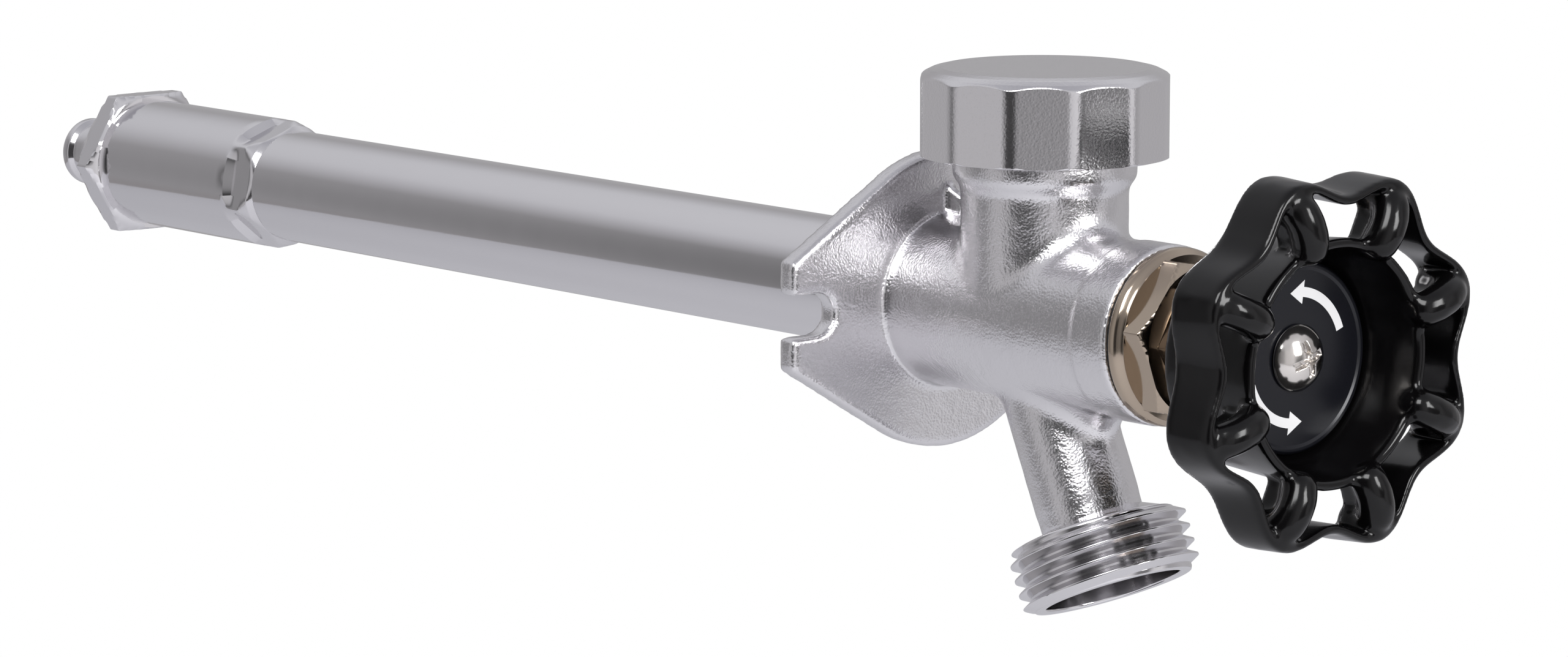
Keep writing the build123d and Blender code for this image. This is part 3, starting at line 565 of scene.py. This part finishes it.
def black_enamel():
    """Gloss black baked enamel with dust under it."""
    material, shader = base_material("Black enamel", settings()[1].enamel, 0.0, 0.12)
    if shader:
        add_skin(material, shader, "enamel", {"Roughness": 0.12, "Speck Share": 0.05}, 0.16, 0.00012)
        shader.inputs["Specular IOR Level"].default_value = 0.3
    return material


def label_black():
    """Satin black anodised disc."""
    material, shader = base_material("Label black", settings()[1].label, 0.3, 0.3)
    if shader:
        add_skin(material, shader, "polish", {"Roughness": 0.24, "Smears": 0.1}, 0.05, 0.0001)
    return material


def white_print():
    """White print on the label disc."""
    material, shader = base_material("White print", (0.82, 0.82, 0.82), 0.0, 0.45)
    if shader:
        add_skin(material, shader, "polish", {"Roughness": 0.4, "Smears": 0.1}, 0.05, 0.00005)
    return material


def moulded(name, color, roughness):
    """Moulded rubber, plastic or pressed graphite."""
    material, shader = base_material(name, color, 0.0, roughness)
    if shader:
        add_skin(
            material, shader, "cast",
            {"Grain Scale": 2500.0, "Roughness": roughness, "Variation": 0.08}, 0.12, 0.00004)
    return material


# ---- pieces ----------------------------------------------------------------
class BIB_OT_cast_body(bpy.types.Operator):
    """The casting: flange, barrel, neck and spout under one soft plated skin"""

    bl_idname = "bib.cast_body"
    bl_label = "Cast body"

    def execute(self, context):
        sizes = settings()[0]
        bm = merged_copy("valve_body")
        collar = Vector((0, SPOUT_Y * MM, 0)) + SPOUT_DIR * CAST_SPOUT_CUT * MM
        bmesh.ops.bisect_plane(
            bm, geom=bm.verts[:] + bm.edges[:] + bm.faces[:], dist=1e-7, plane_co=collar,
            plane_no=SPOUT_DIR, clear_outer=True)
        bmesh.ops.holes_fill(bm, edges=[e for e in bm.edges if e.is_boundary], sides=0)
        pipe = bmesh.new()
        pipe_walls = rounded([
            (SPOUT_BORE_R, 27.0), (SPOUT_R, 27.0), (SPOUT_R, 33.1), (SPOUT_BORE_R, 33.1),
        ], closed=True)
        spin_outline(pipe, pipe_walls, TURN_STEPS, closed=True)
        down_spout(pipe.verts)
        join_into(bm, pipe)
        soft = rebuilt_skin(bm, sizes.cast_voxel, sizes.cast_softness)
        for v in soft.verts:
            swell = noise.noise(v.co * 650.0) + 0.5 * noise.noise(v.co * 1500.0)
            v.co += v.normal * swell * sizes.cast_waviness
            radius = hypot(v.co.x, v.co.z)
            past_step = BARREL_STEP_Y * MM - v.co.y
            if past_step > 0 and 12.6 * MM < radius < 13.4 * MM:
                thicker = 1 + BARREL_STEP_SHARE * min(1.0, past_step / (BARREL_STEP_LENGTH * MM))
                v.co.x *= thicker
                v.co.z *= thicker
        finish_piece(
            soft, "cast_body", "body", cast_chrome(), ("valve_body",),
            sharp=pi, weighted=False)
        return {"FINISHED"}


class BIB_OT_hose_thread(bpy.types.Operator):
    """Threaded end of the spout, with its mouth"""

    bl_idname = "bib.hose_thread"
    bl_label = "Hose thread"

    def execute(self, context):
        bm = bmesh.new()
        core = rounded([
            (SPOUT_BORE_R, 30.0), (7.4, 30.0), (7.6, 32.5, 0.2), (11.8, 33.4, 0.3), (HOSE_MINOR_R, 33.9),
            (HOSE_MINOR_R, 42.6, 0.1), (HOSE_MINOR_R - 0.2, SPOUT_END, 0.12),
            (10.35, SPOUT_END, 0.15), (10.1, SPOUT_END - 0.4), (10.1, 35.6, 0.3), (SPOUT_BORE_R, 33.6, 0.3),
        ], closed=True)
        spin_outline(bm, core, TURN_STEPS, closed=True)
        # one tooth, wound up the spout; its ends run out into the core
        turns = 5
        first = HOSE_LAST_CREST - HOSE_PITCH * (turns - 1 + HOSE_CREST_ANGLE / 360)
        foot = HOSE_PITCH / 2
        tooth = rounded([
            (HOSE_MINOR_R - 0.25, first - foot + 0.02), (HOSE_MINOR_R + 0.02, first - foot + 0.16, 0.12),
            (HOSE_MAJOR_R, first - 0.13, 0.09), (HOSE_MAJOR_R, first + 0.13, 0.09),
            (HOSE_MINOR_R + 0.02, first + foot - 0.16, 0.12),
            (HOSE_MINOR_R - 0.25, first + foot - 0.02),
        ], arc_steps=3)
        wound = wound_tooth(tooth, HOSE_PITCH, turns)
        for v in join_into(bm, wound):
            place = v.co.y / MM
            radius = hypot(v.co.x, v.co.z) / MM
            run_out = HOSE_MINOR_R + (place - THREAD_START) * 4.6
            front_cut = HOSE_MINOR_R + (SPOUT_END - 0.12 - place) * 1.7
            wanted = max(min(radius, run_out, front_cut), 6.8)
            v.co.x *= wanted / radius
            v.co.z *= wanted / radius
            v.co.y = min(v.co.y, (SPOUT_END - 0.06) * MM)
        ends = [e for e in bm.edges if e.is_boundary]
        bmesh.ops.holes_fill(bm, edges=ends, sides=0)
        down_spout(bm.verts)
        finish_piece(
            bm, "hose_thread", "body", thread_chrome(), sharp=radians(50))
        return {"FINISHED"}


class BIB_OT_cap(bpy.types.Operator):
    """Twelve-sided vacuum breaker cap with scalloped facets"""

    bl_idname = "bib.cap"
    bl_label = "Vacuum breaker cap"

    def execute(self, context):
        bm = bmesh.new()
        outline = rounded([
            (12.6, 33.6), (12.6, 23.9, 0.2), (12.9, 23.68, 0.1), (18.35, 23.68, 0.35),
            (18.95, 24.1, 0.3), (18.95, 34.1, 0.5), (18.55, 35.15, 1.0), (17.9, 35.8, 1.0),
            (16.8, 36.35, 1.5), (15.3, 36.7, 1.5), (0, 36.7),
        ], arc_steps=5)
        outline = refined(outline, 0.4) + [Vector((0, 33.6))]
        outline = [Vector((0, 33.6))] + outline[:-1]
        verts = spin_outline(bm, outline, FLATS_STEPS)
        cut_flats(verts, CAP_FLATS_R, 12, CAP_CORNER, 23.0, 37.0, soft=0.7)
        on_neck(bm.verts)
        finish_piece(
            bm, "breaker_cap", "body", facet_chrome(), ("vacuum_breaker_cap",))
        return {"FINISHED"}


class BIB_OT_supply_line(bpy.types.Operator):
    """Supply tube, and the inlet fitting with its hex, crimped sleeve and ribbed nipple"""

    bl_idname = "bib.supply_line"
    bl_label = "Supply line"

    def execute(self, context):
        bm = bmesh.new()
        tube = rounded([
            (8.3, -10.0), (TUBE_R, -10.0), (TUBE_R, TUBE_END), (8.3, TUBE_END),
        ], closed=True)
        tube.append(tube[0])
        spin_outline(bm, refined(tube, 12.0)[:-1], TURN_STEPS, closed=True)
        finish_piece(
            bm, "supply_tube", "body", polished_chrome(), ("barrel_tube",))

        bm = bmesh.new()
        outline = [
            (9.4, 188.2), (9.4, 163.6), (9.54, 163.6), (10.3, 164.6, 1.0), (11.08, 166.6, 1.6),
            (11.08, 207.0), (11.75, 207.0), (13.9, 208.3, 0.1), (13.9, 210.9, 0.1),
            (11.9, 212.0, 0.3), (5.3, 212.0, 0.2), (5.2, 213.6, 0.3),
        ]
        for rib_end in RIB_ENDS:
            outline += [
                (5.2, rib_end - 3.5, 0.3), (5.95, rib_end - 2.7, 0.6), (5.95, rib_end - 1.2, 0.9),
                (5.2, rib_end - 0.05, 0.4),
            ]
        outline += [
            (3.9, 228.5, 0.3), (3.9, 207.5), (4.2, 207.0), (4.2, 194.0), (5.0, 194.0), (5.5, 196.0),
            (8.3, 196.0), (8.3, 188.2),
        ]
        profile = rounded(outline, closed=True)
        profile.append(profile[0])
        verts = spin_outline(bm, refined(profile, 1.1)[:-1], FLATS_STEPS, closed=True)
        cut_flats(verts, INLET_FLATS_R, 6, 0.0, 207.01, 212.0, soft=0.15)
        press_crimp(verts)
        finish_piece(
            bm, "inlet_coupling", "body", polished_chrome(), ("inlet_fitting",))
        return {"FINISHED"}


def press_crimp(verts):
    """Six flats pressed into the sleeve's end, steep at the hex side and run out at the tube side."""
    pitch = pi / 3
    for v in verts:
        place = v.co.y / MM
        radius = hypot(v.co.x, v.co.z) / MM
        if not 163.0 < place < 172.5 or radius < 9.5:
            continue
        offset = (atan2(v.co.z, v.co.x) - CRIMP_TURN) % pitch - pitch / 2
        step = max(0.0, place - 169.2) * 1.3
        limit = 9.7 / cos(offset) + step
        wanted = max(smooth_least(radius, limit, 0.2), 9.53)
        v.co.x *= wanted / radius
        v.co.z *= wanted / radius


class BIB_OT_bonnet(bpy.types.Operator):
    """Bonnet with its rounded collar and hex, and the packing nut in front of it"""

    bl_idname = "bib.bonnet"
    bl_label = "Bonnet"

    def execute(self, context):
        bm = bmesh.new()
        outline = rounded([
            (8.3, -37.2), (10.9, -37.2), (10.9, -51.07), (12.75, -51.07, 0.1), (13.05, -51.4, 0.4),
            (12.95, -52.4, 1.2), (11.8, -53.6, 0.5), (12.6, -53.65), (12.6, -56.4, 0.1),
            (10.95, -57.5, 0.15), (7.95, -57.5, 0.2), (7.95, -51.7), (4.95, -51.7),
            (4.95, -50.5), (8.3, -50.5),
        ], closed=True)
        outline.append(outline[0])
        verts = spin_outline(bm, refined(outline, 0.6)[:-1], FLATS_STEPS, closed=True)
        cut_flats(verts, BONNET_FLATS_R, 6, BONNET_CORNER, -57.6, -53.62, soft=0.06)
        finish_piece(bm, "bonnet_nut", "body", nickel_bronze(), ("bonnet",))

        bm = bmesh.new()
        outline = rounded([
            (4.9, -55.7), (7.9, -55.7), (7.9, -57.55), (9.18, -57.55, 0.1), (9.18, -61.2, 0.1),
            (7.95, -62.0, 0.1), (4.9, -62.0, 0.3),
        ], closed=True)
        outline.append(outline[0])
        verts = spin_outline(bm, refined(outline, 0.6)[:-1], FLATS_STEPS, closed=True)
        cut_flats(verts, GLAND_FLATS_R, 6, 0.0, -62.1, -57.5, soft=0.08)
        finish_piece(
            bm, "gland_nut", "body", nickel_bronze(), ("packing_nut",))
        return {"FINISHED"}


def capsule(bm, start, end, radius):
    """Rod with round ends between two points in millimetres, into the bmesh."""
    a, b = Vector(start) * MM, Vector(end) * MM
    along = b - a
    turn = Vector((0, 0, 1)).rotation_difference(along).to_matrix().to_4x4()
    bmesh.ops.create_cone(
        bm, cap_ends=True, segments=24, radius1=radius * MM, radius2=radius * MM,
        depth=along.length, matrix=Matrix.Translation((a + b) / 2) @ turn)
    for end_point in (a, b):
        bmesh.ops.create_uvsphere(
            bm, u_segments=24, v_segments=12, radius=radius * MM,
            matrix=Matrix.Translation(end_point))


def finger(angle):
    """One finger that curls over from the rim to the cup, with the rib behind it."""
    part = bmesh.new()
    spine = [(25.2, -79.6), (25.05, -81.6), (24.5, -83.1), (23.4, -84.2), (21.8, -84.75),
             (19.8, -84.8), (18.3, -84.3)]
    out = Vector((cos(angle), 0, sin(angle)))
    points = [out * radius + Vector((0, place, 0)) for radius, place in spine]
    for here, after in zip(points, points[1:]):
        capsule(part, here, after, FINGER_R)
    rib = Matrix.Translation((out * 21.4 + Vector((0, -81.4, 0))) * MM)
    rib @= Matrix.Rotation(-angle, 4, "Y") @ Matrix.Diagonal((9.4 * MM, 6.0 * MM, 1.7 * MM, 1))
    bmesh.ops.create_cube(part, size=1.0, matrix=rib)
    return part


def wave_rim(verts, turn):
    """Bends a plain ring into lobes, wider at the back than at the front."""
    ring_r = 26.0
    for v in verts:
        place = v.co.y / MM
        radius = hypot(v.co.x, v.co.z) / MM
        angle = atan2(v.co.z, v.co.x)
        share = (place + 85.2) / 8.8
        valley = 23.75 + 1.1 * share
        lobe = 27.5 + 0.35 * share
        wave = 0.5 + 0.5 * cos(LOBES * (angle - turn))
        wanted = valley + (lobe - valley) * wave + radius - ring_r
        v.co.x *= wanted / radius
        v.co.z *= wanted / radius


class BIB_OT_handle(bpy.types.Operator):
    """Lobed handle: rim, fingers with their ribs, cup and web, joined under one coat of enamel"""

    bl_idname = "bib.handle"
    bl_label = "Handle"

    def execute(self, context):
        sizes = settings()[0]
        bm = bmesh.new()
        rim = rounded([
            (26.0, -76.4, 0.6), (26.0, -85.1, 0.7), (24.6, -85.1, 0.4), (23.9, -76.4, 0.6),
        ], closed=True)
        rim.append(rim[0])
        wave_rim(spin_outline(bm, refined(rim, 1.5)[:-1], FLATS_STEPS, closed=True), sizes.handle_turn)
        cup = rounded([
            (4.3, -74.4), (14.3, -74.4), (14.4, -75.9, 0.2), (14.8, -76.3, 0.5), (16.4, -84.4, 0.5),
            (17.9, -84.5, 0.6), (17.4, -78.0), (16.6, -66.0, 0.5), (15.2, -66.0, 0.5),
            (15.2, -71.8, 0.6), (7.4, -71.8, 0.6), (7.0, -67.0, 0.6), (4.3, -67.0),
        ], closed=True)
        spin_outline(bm, cup, TURN_STEPS, closed=True)
        for k in range(LOBES):
            join_into(bm, finger(sizes.handle_turn + 2 * pi * k / LOBES))
        soft = rebuilt_skin(bm, sizes.handle_voxel, sizes.handle_softness)
        finish_piece(
            soft, "handle", "turning_stem", black_enamel(), ("handle_wheel",),
            sharp=pi, weighted=False)
        return {"FINISHED"}


class BIB_OT_label(bpy.types.Operator):
    """Disc at the bottom of the cup, with printed turning arrows"""

    bl_idname = "bib.label"
    bl_label = "Label disc"

    def execute(self, context):
        bm = bmesh.new()
        outline = rounded([
            (2.1, -74.4), (13.77, -74.4), (13.77, -75.5, 0.2), (13.35, -75.95, 0.25),
            (12.9, -75.95, 0.2), (12.5, -75.75, 0.2), (5.2, -75.75), (2.1, -75.8),
        ], closed=True)
        outline.append(outline[0])
        spin_outline(bm, refined(outline, 1.2)[:-1], TURN_STEPS, closed=True)
        finish_piece(
            bm, "label_disc", "turning_stem", label_black(), ("handle_label_disc",))
        return {"FINISHED"}


class BIB_OT_label_print(bpy.types.Operator):
    """White print on the disc: two curved arrows that turn the same way"""

    bl_idname = "bib.label_print"
    bl_label = "Label print"

    def execute(self, context):
        bm = bmesh.new()
        sweep = radians(62)
        for start in (radians(20), radians(200)):
            known = set(bm.verts)
            inner = bm.verts.new((8.6 * MM, DISC_FACE * MM, 0))
            outer = bm.verts.new((10.0 * MM, DISC_FACE * MM, 0))
            edge = bm.edges.new((inner, outer))
            bmesh.ops.spin(
                bm, geom=[inner, outer, edge], cent=(0, 0, 0), axis=(0, -1, 0), dvec=(0, 0, 0),
                angle=sweep, steps=24, use_merge=False, use_duplicate=False)
            tip = [bm.verts.new((radius * cos(angle) * MM, DISC_FACE * MM, radius * sin(angle) * MM))
                   for radius, angle in ((7.6, sweep), (11.0, sweep), (9.3, sweep + radians(16)))]
            bm.faces.new(tip)
            fresh = [v for v in bm.verts if v not in known]
            bmesh.ops.rotate(
                bm, verts=fresh, cent=(0, 0, 0), matrix=Matrix.Rotation(-start, 3, "Y"))
        flat = bm.faces[:]
        grown = bmesh.ops.extrude_face_region(bm, geom=flat)
        raised = [g for g in grown["geom"] if isinstance(g, bmesh.types.BMVert)]
        bmesh.ops.translate(bm, verts=raised, vec=(0, -0.04 * MM, 0))
        finish_piece(bm, "label_print", "turning_stem", white_print())
        return {"FINISHED"}


class BIB_OT_handle_screw(bpy.types.Operator):
    """Domed screw with a stamped cross recess"""

    bl_idname = "bib.handle_screw"
    bl_label = "Handle screw"

    def execute(self, context):
        bm = bmesh.new()
        dome = [Vector((1.95, -64.0)), Vector((1.95, -75.8)), Vector((4.6, -75.8)), Vector((4.8, -76.0)),
                Vector((4.8, -76.35))]
        rim_angle = asin(SCREW_EDGE_R / SCREW_SPHERE_R)
        drop = SCREW_SPHERE_R * (1 - cos(rim_angle))
        squeeze = SCREW_RISE / drop
        arcs = 46
        for step in range(arcs + 1):
            angle = rim_angle * (1 - step / arcs)
            height = (SCREW_SPHERE_R * (cos(angle) - 1) + drop) * squeeze
            dome.append(Vector((SCREW_SPHERE_R * sin(angle), SCREW_EDGE_Y - height)))
        verts = spin_outline(bm, dome, TURN_STEPS)
        for v in verts:
            if v.co.y > -76.2 * MM:
                continue
            x = (v.co.x * cos(RECESS_TURN) + v.co.z * sin(RECESS_TURN)) / MM
            z = (v.co.z * cos(RECESS_TURN) - v.co.x * sin(RECESS_TURN)) / MM
            near, far = sorted((abs(x), abs(z)))
            wing = held_share((0.62 - near) / 0.22) * held_share((RECESS_REACH - far) / 0.3)
            heart = held_share((1.5 - near - far) / 0.35)
            depth = max(wing * (0.55 + 0.55 * (1 - far / RECESS_REACH)), heart * 1.25)
            v.co.y += depth * MM
        finish_piece(
            bm, "screw", "turning_stem", stainless(), ("handle_screw",), sharp=radians(60))
        return {"FINISHED"}


class BIB_OT_inner_parts(bpy.types.Operator):
    """Finishes for the pieces that keep their frame shape"""

    bl_idname = "bib.inner_parts"
    bl_label = "Inner parts"

    def execute(self, context):
        rubber = moulded("Black rubber", (0.02, 0.02, 0.02), 0.55)
        graphite = moulded("Graphite packing", (0.09, 0.09, 0.10), 0.5)
        acetal = moulded("White acetal", (0.80, 0.80, 0.78), 0.38)
        finishes = {
            "bonnet_gasket": rubber, "cap_gasket": rubber, "vent_seat_ring": rubber,
            "seat_washer": rubber, "float_seal": rubber, "packing_ring": graphite,
            "packing_washer": turned_brass(), "operating_screw": turned_brass(),
            "stem_rod": turned_brass(), "washer_holder": turned_brass(),
            "seat_washer_screw": turned_brass(), "vent_seat": turned_brass(),
            "swivel_ring": stainless(), "stem_guide": acetal, "vent_float": acetal,
            "vent_cage": acetal,
        }
        for node, material in finishes.items():
            slots = NODES[node].material_slots
            for slot in slots:
                slot.link = "OBJECT"
                slot.material = material
        return {"FINISHED"}


def pale_floor():
    """Pale floor that reads as white paper to the camera."""
    material, shader = base_material("Pale floor", (0.62, 0.62, 0.64), 0.0, 0.7)
    if shader:
        tree = material.node_tree
        seen = tree.nodes.new("ShaderNodeLightPath")
        paper = tree.nodes.new("ShaderNodeEmission")
        mixed = tree.nodes.new("ShaderNodeMixShader")
        tree.links.new(seen.outputs["Is Camera Ray"], mixed.inputs["Fac"])
        tree.links.new(shader.outputs["BSDF"], mixed.inputs[1])
        tree.links.new(paper.outputs["Emission"], mixed.inputs[2])
        tree.links.new(mixed.outputs["Shader"], tree.nodes["Material Output"].inputs["Surface"])
    return material


# ---- studio ----------------------------------------------------------------
def lamp(name, place, target, size, power):
    """Soft rectangular lamp that faces a point."""
    light = bpy.data.lights.new(name, "AREA")
    light.shape = "RECTANGLE"
    light.size, light.size_y = size
    light.energy = power * settings()[2].light_power
    thing = bpy.data.objects.new(name, light)
    thing.location = place
    facing = (Vector(target) - Vector(place)).to_track_quat("-Z", "Y")
    thing.rotation_euler = facing.to_euler()
    bpy.context.scene.collection.objects.link(thing)


# The room that the metal mirrors, round the horizon: azimuth in degrees from +X, brightness.
ROOM = (
    (-180, 0.30), (-174, 0.07), (-150, 0.06), (-140, 0.30), (-130, 0.42), (-122, 0.74), (-98, 0.85),
    (-88, 0.22), (-74, 0.18), (-66, 0.78), (-52, 0.82), (-42, 0.42), (-10, 0.54), (60, 0.42),
    (100, 0.52), (124, 0.34), (135, 0.18), (148, 0.50), (166, 0.62), (180, 0.30),
)


def surround():
    """World: soft light and dark flags round the horizon, light above, pale floor; white to the camera."""
    world = bpy.data.worlds.new("Studio")
    bpy.context.scene.world = world
    world.use_nodes = True
    tree = world.node_tree
    place = tree.nodes.new("ShaderNodeTexCoord").outputs["Generated"]
    split = tree.nodes.new("ShaderNodeSeparateXYZ")
    tree.links.new(place, split.inputs[0])
    heading = math_node(tree, "ARCTAN2", split.outputs["Y"], split.outputs["X"])
    around = color_steps(
        tree, range_node(tree, heading, -pi, pi, 0.0, 1.0),
        [((azimuth + 180) / 360, (b, b * 0.985, b * 1.01)) for azimuth, b in ROOM])
    upright = color_steps(
        tree, range_node(tree, split.outputs["Z"], -1.0, 1.0, 0.0, 1.0),
        [(0.0, (0.26, 0.24, 0.23)), (0.34, (0.28, 0.26, 0.26)), (0.72, (0.62, 0.62, 0.65)),
         (0.85, (0.74, 0.74, 0.77)), (1.0, (0.50, 0.50, 0.54))])
    height = math_node(tree, "ABSOLUTE", math_node(tree, "SUBTRACT", split.outputs["Z"], 0.05))
    away = range_node(tree, height, 0.28, 0.52, 0.0, 1.0)
    shade = mix_colors(tree, away, around, upright)
    seen = tree.nodes.new("ShaderNodeLightPath").outputs["Is Camera Ray"]
    shade = mix_colors(tree, seen, shade, (1, 1, 1, 1))
    tree.links.new(shade, tree.nodes["Background"].inputs["Color"])


def color_steps(tree, value, stops):
    """Colour ramp over a value, from (position, colour) stops."""
    ramp = tree.nodes.new("ShaderNodeValToRGB")
    tree.links.new(value, ramp.inputs["Fac"])
    steps = ramp.color_ramp.elements
    for position, _ in stops[1:-1]:
        steps.new(position)
    for step, (position, color) in zip(steps, stops):
        step.position = position
        step.color = (*color, 1)
    return ramp.outputs["Color"]


def mix_colors(tree, share, first, second):
    """Blend of two colours by a share."""
    blend = tree.nodes.new("ShaderNodeMix")
    blend.data_type = "RGBA"
    tree.links.new(share, blend.inputs["Factor"])
    tree.links.new(first, blend.inputs[6])
    if isinstance(second, bpy.types.NodeSocket):
        tree.links.new(second, blend.inputs[7])
    else:
        blend.inputs[7].default_value = second
    return blend.outputs[2]


class BIB_OT_stage(bpy.types.Operator):
    """Camera, pale floor and soft lights"""

    bl_idname = "bib.stage"
    bl_label = "Stage"

    def execute(self, context):
        studio = settings()[2]
        scene = context.scene
        camera = bpy.data.cameras.new("Camera")
        camera.lens = studio.camera_lens
        camera.sensor_width = 36.0
        camera.clip_start = 0.01
        eye = bpy.data.objects.new("Camera", camera)
        eye.location = studio.camera_place
        gaze = Vector(studio.camera_target) - Vector(studio.camera_place)
        eye.rotation_euler = gaze.to_track_quat("-Z", "Y").to_euler()
        scene.collection.objects.link(eye)
        scene.camera = eye

        bm = bmesh.new()
        bmesh.ops.create_grid(bm, x_segments=2, y_segments=2, size=0.85)
        bmesh.ops.translate(bm, verts=bm.verts, vec=(0, 0, CAD_BOX[0][2] - 0.25))
        mesh = bpy.data.meshes.new("floor")
        bm.to_mesh(mesh)
        bm.free()
        floor = bpy.data.objects.new("floor", mesh)
        scene.collection.objects.link(floor)
        mesh.materials.append(pale_floor())

        surround()
        scene.view_settings.view_transform = "Standard"

        target = (0, -0.02, 0)
        lamp("Key", (-0.9, -0.5, 0.9), target, (0.6, 0.6), 12.0)
        lamp("Front", (0.1, -1.3, 0.5), target, (0.4, 0.7), 12.0)
        return {"FINISHED"}


class BIB_PT_panel(bpy.types.Panel):
    """Buttons for every piece and the settings"""

    bl_label = "Hose Bib"
    bl_idname = "BIB_PT_panel"
    bl_space_type = "VIEW_3D"
    bl_region_type = "UI"
    bl_category = "Hose Bib"

    def draw(self, context):
        for operator in OPERATORS:
            self.layout.operator(operator.bl_idname)
        for group in settings():
            for name in group.bl_rna.properties.keys():
                if name not in {"rna_type", "name"}:
                    self.layout.prop(group, name)


OPERATORS = (
    BIB_OT_cast_body, BIB_OT_hose_thread, BIB_OT_cap, BIB_OT_supply_line, BIB_OT_bonnet,
    BIB_OT_handle, BIB_OT_label, BIB_OT_label_print, BIB_OT_handle_screw, BIB_OT_inner_parts,
    BIB_OT_stage,
)
CLASSES = (BibSizes, BibFinish, BibStudio) + OPERATORS + (BIB_PT_panel,)


def register():
    """Registers the classes and puts the settings on the scene."""
    for cls in CLASSES:
        bpy.utils.register_class(cls)
    bpy.types.Scene.bib_sizes = bpy.props.PointerProperty(type=BibSizes)
    bpy.types.Scene.bib_finish = bpy.props.PointerProperty(type=BibFinish)
    bpy.types.Scene.bib_studio = bpy.props.PointerProperty(type=BibStudio)


def unregister():
    """Takes the settings off the scene and unregisters the classes."""
    del bpy.types.Scene.bib_studio
    del bpy.types.Scene.bib_finish
    del bpy.types.Scene.bib_sizes
    for cls in reversed(CLASSES):
        bpy.utils.unregister_class(cls)


def main():
    """Makes every piece and the stage."""
    register()
    bpy.ops.bib.stage()
    bpy.ops.bib.cast_body()
    bpy.ops.bib.hose_thread()
    bpy.ops.bib.cap()
    bpy.ops.bib.supply_line()
    bpy.ops.bib.bonnet()
    bpy.ops.bib.handle()
    bpy.ops.bib.label()
    bpy.ops.bib.label_print()
    bpy.ops.bib.handle_screw()
    bpy.ops.bib.inner_parts()


if __name__ == "__main__":
    main()
